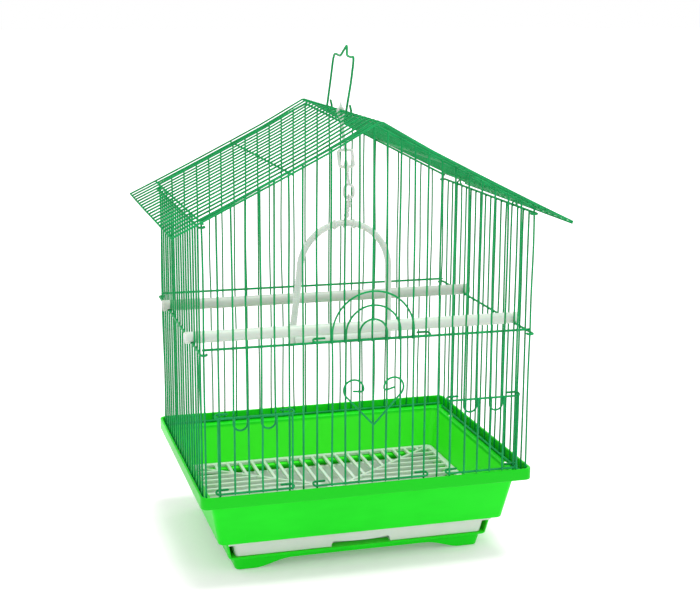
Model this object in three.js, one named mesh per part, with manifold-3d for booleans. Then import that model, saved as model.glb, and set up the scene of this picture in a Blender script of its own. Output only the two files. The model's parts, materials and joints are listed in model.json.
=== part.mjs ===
// A small house-shaped bird cage: welded wire walls under a gable roof, standing in a moulded plastic base.
// Millimetres. X runs across the front, the front faces -Y, Z is up, and Z = 0 is the underside of the feet.
import * as THREE from 'three';
import { mergeVertices } from 'three/addons/utils/BufferGeometryUtils.js';
import Module from 'manifold-3d';

const wasm = await Module();
wasm.setup();

// Wire stock and fits
const wireDiameter = 1.9; // uprights, roof wires and door bars
const railDiameter = 2.4; // wall rails and the carrying handle
const doorRailDiameter = 2.2;
const wireSides = 6;
const weldDepth = 0.35; // how far two welded wires sink into each other
const touchGap = 0.35; // left between two pieces that rest on or pass each other

// Cage walls
const frontPitch = 13.6; // spacing of the uprights in the front and back walls
const frontPitches = 24;
const cageDepth = 262; // front wall to back wall
const sideSpacing = 14.5; // wanted spacing of the uprights in the side walls
const midRailHeight = 238;
const sideRailDrop = 4; // side rails run this far below the front and back rails
const sideTopDrop = 8.8; // top side rail below the roof's outer face
const guideHookPlay = 1.2; // how loosely a door hook sits round its guide wire
const hookTail = 7;
const feederTop = 158; // lower ends of the looped wires above each feeder opening
const feederDoorHeight = 172;

// Roof
const roofSlope = THREE.MathUtils.degToRad(27.16);
const roofApex = 448; // where the two straight slopes would meet
const crestRadius = 6;
const eaveOverhang = 28.6; // side rail to eave, measured across
const roofLength = 290; // front wire to back wire
const roofSpacing = 14.5; // wanted spacing of the roof wires
const roofShift = -8; // the roof overhangs the front more than the back
const clipSpan = 0.5; // lean of a clip wire, in side pitches

// Main door and its heart
const archLift = 4.8; // straight part of the door bars above the top rail
const heartWidth = 60;
const heartHeight = 46.6;
const heartBase = 154.8;

// Base
const rimMargin = 5.8; // wall wires to the outside of the rim
const rimTop = 95;
const rimHeight = 12;
const rimCornerRadius = 9;
const lipThickness = 2.4;
const ledgeThickness = 2.4;
const sideOverhang = 11.5; // rim edge to the tub wall, at the sides
const frontOverhang = 15.5; // rim edge to the tub wall, at the front and back
const wallSlope = 0.2; // inward lean of the moulded walls
const wallThickness = 2.5;
const tubBottom = 35.5;
const ledgeRingWidth = 11; // ring inside the tub that carries the floor grille
const ledgeRingThickness = 4;
const housingInset = 8; // tub bottom to the tray housing, at the sides
const housingFrontInset = 8;
const housingWall = 2;
const housingFloorTop = 16.3;
const housingFloorThickness = 2.3;
const skirtInset = 4.5; // tray housing to the foot skirt
const skirtThickness = 4;
const skirtArchHeight = 8.8;
const footLength = 20; // flat run of a foot from the skirt corner
const footBlend = 41; // run over which a foot rises to the arch
const footCornerRadius = 12;
const slotLength = 12;
const slotWidth = 5;
const slotReach = 85; // ledge slots, front and back of the middle

// Floor grille
const grilleClearance = 0.8;
const grilleThickness = 3.7;
const grilleFrame = 6;
const grillePitch = 14;
const grilleRib = 3.6;
const grilleRibSink = 0.3; // ribs lie this far inside both faces of the frame

// Slide-out tray
const trayClearance = 0.6;
const trayLipThickness = 2.5;
const trayLipWidth = 3;
const trayHeadroom = 4.5; // top of the tray to the tub
const trayWall = 2;
const trayBackGap = 3;
const trayNotchWidth = 62;
const trayNotchHeight = 7;
const trayNotchSag = 2.4; // how far the pull lip hangs into the notch

// Perches
const perchPlay = 0.4; // between a perch and the uprights either side of it
const perchLift = 4.5; // perch axis above the side rails
const perchEnd = 6.4; // how far a perch sticks out past the side rails
const frontPerchGap = 3; // which gap between side uprights, counted from the front
const rearPerchGap = 13;

// Carrying handle
const handleSpan = 5; // in roof pitches
const handleHeight = 55.5;
const handlePeak = 11.5; // rise of the finger bend above the top bar
const handlePeakPlaces = [-11.4, -6.6, 12]; // where the finger bend starts, peaks and ends along the bar
const handleCorner = 6;
const handleStub = 9;
const handleLean = THREE.MathUtils.degToRad(8);

// Swing
const swingGap = 9; // which gap between roof wires the hanger hooks into, counted from the front
const hangerThickness = 3.6;
const hangerRingWidth = 18.2;
const hangerRingHeight = 20.8;
const hangerRingWall = 3.5;
const hangerDrop = 64.5; // eye top to ring bottom
const hangerEyeHeight = 12;
const hangerEyeRise = 7.5;
const linkLoopWidth = 12.5;
const linkLoopHeight = 17;
const linkThickness = 3;
const linkLength = 33;
const linkPlay = 0.6; // extra room of the link's loop round the ring's square bar
const stemBeadDiameter = 6.4;
const stemNeckDiameter = 3.8;
const swingArchTop = 333;
const swingArchHalfWidth = 50.5;
const swingArchRise = 48;
const swingArchDiameter = 7.6;
const swingLegFlare = 2;
const swingBarHeight = 212.5;
const swingBarDiameter = 9;

// Worked-out sizes
const up = new THREE.Vector3(0, 0, 1);
const across = new THREE.Vector3(1, 0, 0);
const inward = new THREE.Vector3(0, 1, 0);
const cageWidth = frontPitch * frontPitches;
const halfWidth = cageWidth / 2;
const halfDepth = cageDepth / 2;
const sidePitches = Math.round(cageDepth / sideSpacing);
const sidePitch = cageDepth / sidePitches;
const roofPitches = Math.round(roofLength / roofSpacing);
const roofPitch = roofLength / roofPitches;
const wireReach = hexReach(wireDiameter); // centre to the sharp edge of the section
const railReach = hexReach(railDiameter);
const doorRailReach = hexReach(doorRailDiameter);
const railOffset = (wireDiameter + railDiameter) / 2 - weldDepth;
const cornerHookRadius = wireReach + touchGap + railReach;
const sidePlane = halfWidth + cornerHookRadius - railOffset;
const sideRailPlane = halfWidth + cornerHookRadius;
const sideRailHeight = midRailHeight - sideRailDrop;
const ledgeTop = rimTop - rimHeight + ledgeThickness;
const bottomRailHeight = ledgeTop + touchGap + railReach;
const wireFoot = ledgeTop + touchGap;
const guideHookRadius = wireReach + touchGap + doorRailReach;
const doorRailPlane = -halfDepth - guideHookRadius;
const doorBarPlane = doorRailPlane - (wireDiameter + doorRailDiameter) / 2 + weldDepth;
const doorBottomHeight = rimTop + touchGap + doorRailReach;
const mainDoorHeight = midRailHeight + railReach + touchGap + doorRailReach;
const roofRodOffset = wireDiameter - weldDepth;
const sideTopHeight = roofApex - Math.tan(roofSlope) * sideRailPlane - sideTopDrop;
const eaveReach = sideRailPlane + eaveOverhang;
const roofMiddleReach = sideRailPlane / 2;
const perchDiameter = sidePitch - 2 * wireReach - 2 * perchPlay;
const trayTop = tubBottom - trayHeadroom;
const roofFront = roofShift - roofLength / 2;
const gableApex = roofApex - (roofRodOffset + wireReach + touchGap + railReach) / Math.cos(roofSlope);
const crestTop = roofApex - crestRadius * (1 / Math.cos(roofSlope) - 1);
const ridgeRodHeight = crestTop - roofRodOffset;

const materials = {
  wire: { color: 0x2c9a58, roughness: 0.42, metalness: 0 },
  base: { color: 0x22d22c, roughness: 0.38, metalness: 0 },
  white: { color: 0xe2e1da, roughness: 0.45, metalness: 0 },
};

const cage = new THREE.Group();

function hexReach(diameter) {
  return diameter / 2 / Math.cos(Math.PI / wireSides);
}

// A curve through given corners, where step number k lands exactly on corner k.
class WirePath extends THREE.Curve {
  constructor(corners) {
    super();
    this.corners = corners;
  }

  getPoint(t, target = new THREE.Vector3()) {
    const last = this.corners.length - 1;
    const index = Math.min(Math.floor(t * last + 1e-9), last - 1);
    return target.lerpVectors(this.corners[index], this.corners[index + 1], t * last - index);
  }

  getPointAt(u, target) {
    return this.getPoint(u, target);
  }

  getTangentAt(u, target = new THREE.Vector3()) {
    const last = this.corners.length - 1;
    const index = Math.round(u * last);
    const here = this.corners[index];
    const ahead = this.corners[Math.min(index + 1, last)].clone().sub(here).normalize();
    const behind = here.clone().sub(this.corners[Math.max(index - 1, 0)]).normalize();
    return target.addVectors(ahead, behind).normalize();
  }
}

function toSolid(geometry) {
  const bare = geometry.clone();
  bare.deleteAttribute('normal');
  bare.deleteAttribute('uv');
  const merged = mergeVertices(bare, 1e-4);
  return new wasm.Manifold(new wasm.Mesh({
    numProp: 3,
    vertProperties: new Float32Array(merged.attributes.position.array),
    triVerts: new Uint32Array(merged.index.array),
  }));
}

function join(solids) {
  return solids.reduce((whole, solid) => whole.add(solid));
}

function addPiece(name, solid, look) {
  const { vertProperties, triVerts } = solid.getMesh();
  const geometry = new THREE.BufferGeometry();
  geometry.setAttribute('position', new THREE.BufferAttribute(vertProperties, 3));
  geometry.setIndex(new THREE.BufferAttribute(triVerts, 1));
  geometry.computeVertexNormals();
  const piece = new THREE.Mesh(geometry, new THREE.MeshStandardMaterial(look));
  piece.name = name;
  cage.add(piece);
  return piece;
}

// A wire through the corners, with one flat of its section turned to face the given direction.
function wire(corners, diameter, facing, sides = wireSides) {
  const path = new WirePath(corners.map((corner) => new THREE.Vector3(...corner)));
  const steps = corners.length - 1;
  const frames = path.computeFrenetFrames(steps, false);
  const turn = Math.atan2(facing.dot(frames.binormals[0]), facing.dot(frames.normals[0]));
  const reach = diameter / 2 / Math.cos(Math.PI / sides);
  const outline = [];
  for (let k = 0; k < sides; k += 1) {
    const angle = turn + (k + 0.5) * 2 * Math.PI / sides;
    outline.push(new THREE.Vector2(reach * Math.cos(angle), reach * Math.sin(angle)));
  }
  const shape = new THREE.Shape(outline);
  return toSolid(new THREE.ExtrudeGeometry(shape, { steps, extrudePath: path, bevelEnabled: false }));
}

// Points on a circular arc in the plane of two axes, both ends included.
function arc(radius, startDegrees, endDegrees, steps, place) {
  const points = [];
  for (let k = 0; k <= steps; k += 1) {
    const angle = THREE.MathUtils.degToRad(startDegrees + (endDegrees - startDegrees) * k / steps);
    points.push(place(radius * Math.cos(angle), radius * Math.sin(angle)));
  }
  return points;
}

function roundedRectangle(width, depth, radius) {
  const x = width / 2 - radius;
  const y = depth / 2 - radius;
  const shape = new THREE.Shape();
  shape.absarc(x, y, radius, 0, Math.PI / 2);
  shape.absarc(-x, y, radius, Math.PI / 2, Math.PI);
  shape.absarc(-x, -y, radius, Math.PI, Math.PI * 1.5);
  shape.absarc(x, -y, radius, Math.PI * 1.5, Math.PI * 2);
  shape.closePath();
  return shape;
}

// A block with rounded upright corners, width x depth at the bottom, growing by `slope` per unit of height.
function block(width, depth, low, high, radius, slope = 0) {
  const geometry = new THREE.ExtrudeGeometry(roundedRectangle(width, depth, radius), {
    depth: high - low,
    bevelEnabled: false,
    curveSegments: 3,
  });
  const position = geometry.attributes.position;
  for (let k = 0; k < position.count; k += 1) {
    const growth = slope * position.getZ(k);
    position.setX(k, position.getX(k) + Math.sign(position.getX(k)) * growth);
    position.setY(k, position.getY(k) + Math.sign(position.getY(k)) * growth);
  }
  return toSolid(geometry.translate(0, 0, low));
}

function box(low, high) {
  const size = high.map((value, k) => value - low[k]);
  const geometry = new THREE.BoxGeometry(...size);
  return toSolid(geometry.translate(...low.map((value, k) => value + size[k] / 2)));
}

// Extrudes an outline drawn in X and Z along Y, centred on the given Y.
function slab(shape, thickness, centreY, curveSegments = 4) {
  const geometry = new THREE.ExtrudeGeometry(shape, { depth: thickness, bevelEnabled: false, curveSegments });
  return toSolid(geometry.rotateX(Math.PI / 2).translate(0, centreY + thickness / 2, 0));
}

// Height of a pitched line with the roof's slope at distance x from the ridge.
function pitchedHeight(apex, x) {
  return apex - Math.tan(roofSlope) * Math.abs(x);
}

// Corners of a wire that follows the roof's two slopes over a rounded crest.
function gableCorners(apex, reach, y, steps) {
  const centre = apex - crestRadius / Math.cos(roofSlope);
  const degrees = THREE.MathUtils.radToDeg(roofSlope);
  const crest = arc(crestRadius, 90 + degrees, 90 - degrees, steps, (x, z) => [x, y, centre + z]);
  return [[-reach, y, pitchedHeight(apex, reach)], ...crest, [reach, y, pitchedHeight(apex, reach)]];
}

function upright(x, y, low, high) {
  return wire([[x, y, low], [x, y, high]], wireDiameter, inward);
}

function frontPosition(index) {
  return (index - frontPitches / 2) * frontPitch;
}

function sidePosition(index) {
  return (index - sidePitches / 2) * sidePitch;
}

// Rails that the front and back walls share: bottom, middle and the gable rail, on the inside of the uprights.
function endWallRails(y, insideY) {
  const reach = halfWidth + railDiameter / 2;
  const straight = [bottomRailHeight, midRailHeight].map(
    (z) => wire([[-reach, insideY, z], [reach, insideY, z]], railDiameter, inward),
  );
  return [...straight, wire(gableCorners(gableApex, reach, insideY, 3), railDiameter, inward)];
}

function uprightTop(x) {
  return pitchedHeight(gableApex, x) - (Math.abs(x) < crestRadius / 2 ? crestRadius * 0.12 : 0);
}

// Uprights in the front wall, by index from the left corner.
const doorGuides = [1, 6, 8, 16, 18, 23];
const fullUprights = [0, 7, 17, 24, ...doorGuides];
const shortUprights = [9, 10, 11, 12, 13, 14, 15];
const loopedPairs = [2, 4, 19, 21];

function frontPanel() {
  const y = -halfDepth;
  const pieces = endWallRails(y, y + railOffset);
  for (const index of fullUprights) {
    const x = frontPosition(index);
    pieces.push(upright(x, y, wireFoot, uprightTop(x)));
  }
  for (const index of shortUprights) {
    const x = frontPosition(index);
    pieces.push(upright(x, y, midRailHeight - railDiameter / 2, uprightTop(x)));
  }
  for (const index of loopedPairs) {
    const left = frontPosition(index);
    const right = frontPosition(index + 1);
    const radius = frontPitch / 2;
    const bend = arc(radius, 180, 360, 6, (u, v) => [left + radius + u, y, feederTop + radius + v]);
    pieces.push(wire([[left, y, uprightTop(left)], ...bend, [right, y, uprightTop(right)]], wireDiameter, inward));
  }
  return join(pieces);
}

function backPanel() {
  const y = halfDepth;
  const pieces = endWallRails(y, y - railOffset);
  for (let index = 0; index <= frontPitches; index += 1) {
    const x = frontPosition(index);
    pieces.push(upright(x, y, wireFoot, uprightTop(x)));
  }
  return join(pieces);
}

// A side rail with a hook round the corner wire at each end. side is -1 for left and 1 for right.
function hookedRail(side, height) {
  const place = (x, y) => [side * x, y, height];
  const frontHook = arc(cornerHookRadius, 180, 360, 4, (u, v) => place(halfWidth + u, -halfDepth + v));
  const backHook = arc(cornerHookRadius, 0, 180, 4, (u, v) => place(halfWidth + u, halfDepth + v));
  const corners = [
    place(halfWidth - cornerHookRadius, -halfDepth + railDiameter),
    ...frontHook,
    ...backHook,
    place(halfWidth - cornerHookRadius, halfDepth - railDiameter),
  ];
  return wire(corners, railDiameter, up);
}

// Side uprights that run on past the top rail and lean together as clips for the roof.
const clipPairs = [3, sidePitches - 4];

function sidePanel(side) {
  const x = side * sidePlane;
  const pieces = [hookedRail(side, sideRailHeight), hookedRail(side, sideTopHeight)];
  const bottomReach = sidePosition(sidePitches - 1) + wireDiameter;
  const bottomRailX = x - side * railOffset;
  pieces.push(wire(
    [[bottomRailX, -bottomReach, bottomRailHeight], [bottomRailX, bottomReach, bottomRailHeight]],
    railDiameter,
    across,
  ));
  const clipTop = pitchedHeight(roofApex, sideRailPlane) - 2 * roofRodOffset - wireDiameter;
  for (let index = 1; index < sidePitches; index += 1) {
    const y = sidePosition(index);
    const corners = [[x, y, wireFoot], [x, y, sideTopHeight + railDiameter / 2]];
    const pairStart = clipPairs.find((start) => index === start || index === start + 1);
    if (pairStart !== undefined) {
      const lean = (index === pairStart ? 1 : -1) * sidePitch * clipSpan * 0.6;
      corners.push([x, y + lean, clipTop]);
    }
    pieces.push(wire(corners, wireDiameter, across));
  }
  return join(pieces);
}

// Distance across from the ridge of each lengthwise roof rod.
function roofRods() {
  const pieces = [];
  const reach = roofLength / 2 + wireDiameter;
  for (const x of [0, roofMiddleReach, sideRailPlane, eaveReach - wireDiameter / 2]) {
    for (const side of x === 0 ? [1] : [-1, 1]) {
      const slope = x === 0 ? 0 : roofSlope;
      const height = x === 0 ? crestTop : pitchedHeight(roofApex, x);
      const rodX = side * (x - roofRodOffset * Math.sin(slope));
      const rodZ = height - roofRodOffset * Math.cos(slope);
      const facing = new THREE.Vector3(side * Math.sin(slope), 0, Math.cos(slope));
      const corners = [[rodX, roofShift - reach, rodZ], [rodX, roofShift + reach, rodZ]];
      pieces.push(wire(corners, wireDiameter, facing));
    }
  }
  return pieces;
}

function roofPanel() {
  const pieces = roofRods();
  for (let index = 0; index <= roofPitches; index += 1) {
    const y = roofFront + index * roofPitch;
    pieces.push(wire(gableCorners(roofApex, eaveReach, y, 2), wireDiameter, inward));
  }
  return join(pieces);
}

// A door rail that hooks loosely round a guide wire at each end.
function doorRail(centreX, halfSpan, height) {
  const end = halfSpan + guideHookPlay;
  const hook = (side) => arc(guideHookRadius, -90, 90, 4, (u, v) => [centreX + side * (end + u), -halfDepth + v, height]);
  const tail = (side) => [centreX + side * (end - hookTail), -halfDepth + guideHookRadius, height];
  const corners = [tail(-1), ...hook(-1).reverse(), ...hook(1), tail(1)];
  return wire(corners, doorRailDiameter, up);
}

function doorBar(x, low, high) {
  return wire([[x, doorBarPlane, low], [x, doorBarPlane, high]], wireDiameter, inward);
}

function mainDoor() {
  const halfSpan = frontPosition(16);
  const low = doorBottomHeight - doorRailDiameter / 2;
  const pieces = [doorRail(0, halfSpan, doorBottomHeight), doorRail(0, halfSpan, mainDoorHeight)];
  pieces.push(doorBar(0, low, mainDoorHeight + doorRailDiameter / 2));
  for (const ring of [1, 2, 3]) {
    const radius = ring * frontPitch;
    const centre = mainDoorHeight + archLift;
    const top = arc(radius, 180, 0, 4 + 2 * ring, (x, z) => [x, doorBarPlane, centre + z]);
    pieces.push(wire([[-radius, doorBarPlane, low], ...top, [radius, doorBarPlane, low]], wireDiameter, inward));
  }
  return join(pieces);
}

function feederDoor(firstGuide) {
  const left = frontPosition(firstGuide);
  const right = frontPosition(firstGuide + 5);
  const centreX = (left + right) / 2;
  const halfSpan = (right - left) / 2;
  const low = doorBottomHeight - doorRailDiameter / 2;
  const high = feederDoorHeight + doorRailDiameter / 2;
  const pieces = [doorBottomHeight, feederDoorHeight].map((height) => doorRail(centreX, halfSpan, height));
  const endBar = halfSpan + guideHookPlay + wireDiameter / 4;
  const places = [centreX - endBar, centreX + endBar];
  for (let index = firstGuide + 1; index < firstGuide + 5; index += 1) {
    places.push(frontPosition(index));
  }
  return join([...pieces, ...places.map((x) => doorBar(x, low, high))]);
}

// A heart bent from one wire, its two ends curled back into the lobes, carried on the front of the main door.
function heartOrnament() {
  const y = doorBarPlane - 2 * wireReach - touchGap;
  const lobe = heartWidth / 6;
  const lobeX = heartWidth / 2 - lobe;
  const lobeZ = heartBase + heartHeight - lobe;
  const half = (side) => [
    ...arc(lobe, 200, -35, 9, (u, v) => [side * (lobeX + u), y, lobeZ + v]),
    [side * (wireReach * 0.6), y, heartBase + wireReach * 0.6],
  ];
  const curl = (side) => [[side * (lobeX + lobe * 0.1), y, lobeZ - lobe * 0.25]];
  return wire([...curl(-1), ...half(-1), ...half(1).reverse(), ...curl(1)], wireDiameter, inward);
}

function skirtArch(halfRun) {
  const flat = halfRun - footLength - footBlend;
  const profile = [[-halfRun + footLength, -1]];
  const steps = 6;
  for (const side of [-1, 1]) {
    for (let k = 0; k <= steps; k += 1) {
      const t = side < 0 ? k / steps : 1 - k / steps;
      const rise = skirtArchHeight * (1 - Math.cos(Math.PI * t)) / 2;
      profile.push([side * (flat + footBlend * (1 - t)), rise]);
    }
  }
  profile.push([halfRun - footLength, -1]);
  return new THREE.Shape(profile.map(([u, v]) => new THREE.Vector2(u, v)));
}

// Sizes of the moulded base from the rim inwards.
const rimWidth = cageWidth + 2 * rimMargin;
const rimDepth = cageDepth + 2 * rimMargin;
const rimBottom = rimTop - rimHeight;
const tubWidth = rimWidth - 2 * sideOverhang - 2 * wallSlope * (rimBottom - tubBottom);
const tubDepth = rimDepth - 2 * frontOverhang - 2 * wallSlope * (rimBottom - tubBottom);
const tubRadius = rimCornerRadius;
const housingBottom = housingFloorTop - housingFloorThickness;
const housingDrop = wallSlope * (tubBottom - housingBottom);
const housingWidth = tubWidth - 2 * housingInset - 2 * housingDrop;
const housingDepth = tubDepth - 2 * housingFrontInset - 2 * housingDrop;
const innerTubWidth = tubWidth - 2 * wallThickness;
const innerTubDepth = tubDepth - 2 * wallThickness;

function baseTub() {
  const rim = block(rimWidth, rimDepth, rimBottom, rimTop, rimCornerRadius);
  const lipWidth = rimWidth - 2 * lipThickness;
  const lipDepth = rimDepth - 2 * lipThickness;
  const lipRadius = rimCornerRadius - lipThickness;
  const rimHollow = block(lipWidth, lipDepth, ledgeTop, rimTop + 1, lipRadius);
  const tub = block(tubWidth, tubDepth, tubBottom, ledgeTop, tubRadius, wallSlope);
  const hollowLow = tubBottom + ledgeRingThickness;
  const hollowGrowth = 2 * wallSlope * ledgeRingThickness;
  const tubHollow = block(
    innerTubWidth + hollowGrowth,
    innerTubDepth + hollowGrowth,
    hollowLow,
    rimTop,
    tubRadius - wallThickness,
    wallSlope,
  );
  const ringHole = block(
    innerTubWidth - 2 * ledgeRingWidth,
    innerTubDepth - 2 * ledgeRingWidth,
    tubBottom - 1,
    hollowLow + 1,
    footCornerRadius,
  );
  const housing = block(housingWidth, housingDepth, housingBottom, tubBottom + 1, footCornerRadius, wallSlope);
  const floorGrowth = 2 * wallSlope * housingFloorThickness;
  const mouthReach = 2 * footCornerRadius; // carries the hollow out through the housing's front
  const housingHollow = block(
    housingWidth - 2 * housingWall + floorGrowth,
    housingDepth - 2 * housingWall + floorGrowth + mouthReach,
    housingFloorTop,
    tubBottom,
    footCornerRadius - housingWall,
    wallSlope,
  ).translate(0, -mouthReach / 2, 0);
  const skirtWidth = housingWidth - 2 * skirtInset;
  const skirtDepth = housingDepth - 2 * skirtInset;
  const skirtGrowth = 2 * wallSlope * (housingBottom + 1);
  const skirt = block(
    skirtWidth - skirtGrowth,
    skirtDepth - skirtGrowth,
    0,
    housingBottom + 1,
    footCornerRadius,
    wallSlope,
  );
  const skirtHollow = block(
    skirtWidth - skirtGrowth - 2 * skirtThickness,
    skirtDepth - skirtGrowth - 2 * skirtThickness,
    -1,
    housingBottom,
    footCornerRadius - skirtThickness,
  );
  const frontArch = slab(skirtArch(skirtWidth / 2), rimDepth, 0);
  const sideArchGeometry = new THREE.ExtrudeGeometry(skirtArch(skirtDepth / 2), {
    depth: rimWidth,
    bevelEnabled: false,
  });
  sideArchGeometry.rotateX(Math.PI / 2).rotateZ(Math.PI / 2).translate(-rimWidth / 2, 0, 0);
  const feet = skirt.subtract(skirtHollow).subtract(frontArch).subtract(toSolid(sideArchGeometry));
  const slotX = rimWidth / 2 - sideOverhang + 1;
  const slots = [-1, 1].flatMap((side) => [-slotReach, slotReach].map((y) => {
    const edges = [side * slotX, side * (slotX + slotWidth)].sort((a, b) => a - b);
    return box([edges[0], y - slotLength / 2, rimBottom - 1], [edges[1], y + slotLength / 2, ledgeTop + 1]);
  }));
  return rim.subtract(rimHollow).add(tub).subtract(tubHollow).subtract(ringHole)
    .add(housing.subtract(housingHollow).subtract(ringHole))
    .add(feet)
    .subtract(join(slots));
}

// A grate whose ribs run front to back in the front and back quarters and across in the side quarters. Every rib
// ends on the middle line of a diagonal bar.
function floorGrille() {
  const low = tubBottom + ledgeRingThickness + touchGap;
  const high = low + grilleThickness;
  const width = innerTubWidth + 2 * wallSlope * ledgeRingThickness - 2 * grilleClearance;
  const depth = innerTubDepth + 2 * wallSlope * ledgeRingThickness - 2 * grilleClearance;
  const plate = block(width, depth, low, high, tubRadius - wallThickness);
  const window = box(
    [grilleFrame - width / 2, grilleFrame - depth / 2, low - 1],
    [width / 2 - grilleFrame, depth / 2 - grilleFrame, high + 1],
  );
  const x = (width - grilleFrame) / 2;
  const y = (depth - grilleFrame) / 2;
  const half = grilleRib / 2;
  const ribLow = low + grilleRibSink;
  const ribHigh = high - grilleRibSink;
  const span = 2 * Math.hypot(x, y);
  const bars = [-1, 1].map((side) => {
    const bar = new THREE.BoxGeometry(span, grilleRib, grilleThickness);
    return toSolid(bar.rotateZ(side * Math.atan2(y, x)).translate(0, 0, (low + high) / 2));
  });
  for (let k = 0; k * grillePitch < x - grilleFrame; k += 1) {
    const run = k * grillePitch;
    const start = run * y / x;
    for (const [sideX, sideY] of [[-1, -1], [-1, 1], [1, -1], [1, 1]].slice(k === 0 ? 2 : 0)) {
      const ends = [sideY * start, sideY * y].sort((a, b) => a - b);
      bars.push(box([sideX * run - half, ends[0], ribLow], [sideX * run + half, ends[1], ribHigh]));
    }
  }
  for (let k = 0; k * grillePitch < y - grilleFrame; k += 1) {
    const run = k * grillePitch;
    const start = run * x / y;
    for (const [sideX, sideY] of [[-1, -1], [1, -1], [-1, 1], [1, 1]].slice(k === 0 ? 2 : 0)) {
      const ends = [sideX * start, sideX * x].sort((a, b) => a - b);
      bars.push(box([ends[0], sideY * run - half, ribLow], [ends[1], sideY * run + half, ribHigh]));
    }
  }
  return plate.subtract(window).add(join(bars));
}

function slideTray() {
  const low = housingFloorTop + touchGap;
  const growth = 2 * wallSlope * (trayTop - trayLipThickness - housingBottom);
  const lipWidth = housingWidth + growth - 2 * housingWall - 2 * trayClearance;
  const lipBack = (housingDepth + growth) / 2 - housingWall - trayBackGap;
  const lipFront = -(housingDepth + growth) / 2 - 2;
  const lipDepth = lipBack - lipFront;
  const centreY = (lipBack + lipFront) / 2;
  const bodyGrowth = wallSlope * (trayTop - low);
  const bodyWidth = lipWidth - 2 * trayLipWidth - 2 * bodyGrowth;
  const bodyDepth = lipDepth - 2 * trayLipWidth - 2 * bodyGrowth;
  const radius = footCornerRadius - housingWall - 1;
  const body = block(bodyWidth, bodyDepth, low, trayTop, radius, wallSlope);
  const lip = block(lipWidth, lipDepth, trayTop - trayLipThickness, trayTop, radius + 1);
  const hollow = block(
    bodyWidth - 2 * trayWall,
    bodyDepth - 2 * trayWall,
    low + trayWall,
    trayTop + 1,
    radius - trayWall,
    wallSlope,
  );
  const half = trayNotchWidth / 2;
  const notchShape = new THREE.Shape();
  notchShape.moveTo(-half - 2, low - 1);
  notchShape.lineTo(half + 2, low - 1);
  notchShape.lineTo(half - 2, low + trayNotchHeight);
  notchShape.quadraticCurveTo(0, low + trayNotchHeight - 2 * trayNotchSag, -half + 2, low + trayNotchHeight);
  notchShape.closePath();
  const notchDepth = 12;
  const notch = slab(notchShape, notchDepth, -bodyDepth / 2 - 2);
  const shelter = slab(notchShape, notchDepth + 2 * trayWall, -bodyDepth / 2 - 2).add(
    slab(notchShape, notchDepth, -bodyDepth / 2),
  );
  const cover = shelter.translate(0, 0, trayWall).add(shelter).intersect(body);
  const tray = body.add(lip).subtract(hollow).add(cover).subtract(notch);
  return tray.translate(0, centreY, 0);
}

function perch(gapIndex) {
  const y = (sidePosition(gapIndex) + sidePosition(gapIndex + 1)) / 2;
  const z = sideRailHeight + perchLift;
  const length = 2 * (sideRailPlane + perchEnd);
  const rod = new THREE.CylinderGeometry(perchDiameter / 2, perchDiameter / 2, length, 16);
  const solid = toSolid(rod.rotateZ(Math.PI / 2).translate(0, y, z));
  const reach = railReach + touchGap;
  const notches = [-1, 1].map((side) => box(
    [side * sideRailPlane - reach, y - perchDiameter, z - perchDiameter],
    [side * sideRailPlane + reach, y + perchDiameter, sideRailHeight + reach],
  ));
  return solid.subtract(join(notches));
}

// The handle is drawn standing upright about the ridge rod, then leaned over.
function carryHandle() {
  const half = handleSpan * roofPitch / 2;
  const radius = wireReach + touchGap + railReach;
  const foot = (side) => [
    [radius, side * half, handleStub],
    ...arc(radius, 0, -180, 5, (x, z) => [x, side * half, z]),
  ];
  const corner = (side) => arc(handleCorner, 0, 90, 3, (u, v) => [
    -radius,
    side * (half - handleCorner + u),
    handleHeight - handleCorner + v,
  ]);
  const peak = [0, handlePeak, 0].map((rise, k) => [-radius, handlePeakPlaces[k], handleHeight + rise]);
  const corners = [...foot(-1), ...corner(-1), ...peak, ...corner(1).reverse(), ...foot(1).reverse()];
  return wire(corners, railDiameter, across);
}

const swingY = roofFront + (swingGap + 0.5) * roofPitch;
const hangerTop = ridgeRodHeight + hangerEyeRise;
const hangerRingBottom = hangerTop - hangerDrop;
const ringBarHeight = hangerRingBottom + hangerRingWall / 2;

// A flat moulded hanger: an eye over the ridge rod, a shank and a square ring.
function swingHanger() {
  const ringTop = hangerRingBottom + hangerRingHeight;
  const eyeHalf = wireReach + touchGap + hangerThickness * 0.7;
  const shank = hangerThickness / 2;
  const outline = new THREE.Shape();
  outline.moveTo(-hangerRingWidth / 2, hangerRingBottom);
  outline.lineTo(hangerRingWidth / 2, hangerRingBottom);
  outline.lineTo(hangerRingWidth / 2, ringTop - 3);
  outline.lineTo(shank, ringTop);
  outline.lineTo(shank, hangerTop - hangerEyeHeight);
  outline.lineTo(eyeHalf, ridgeRodHeight);
  outline.lineTo(1.5, hangerTop);
  outline.lineTo(-1.5, hangerTop);
  outline.lineTo(-eyeHalf, ridgeRodHeight);
  outline.lineTo(-shank, hangerTop - hangerEyeHeight);
  outline.lineTo(-shank, ringTop);
  outline.lineTo(-hangerRingWidth / 2, ringTop - 3);
  outline.closePath();
  const inner = hangerRingWidth / 2 - hangerRingWall;
  const window = box(
    [-inner, swingY - hangerThickness, hangerRingBottom + hangerRingWall],
    [inner, swingY + hangerThickness, ringTop - hangerRingWall - 1],
  );
  const eye = new THREE.CylinderGeometry(wireReach + touchGap, wireReach + touchGap, 3 * hangerThickness, 12);
  return slab(outline, hangerThickness, swingY).subtract(window)
    .subtract(toSolid(eye.translate(0, swingY, ridgeRodHeight)));
}

const linkBottom = ringBarHeight - linkLength;

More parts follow.
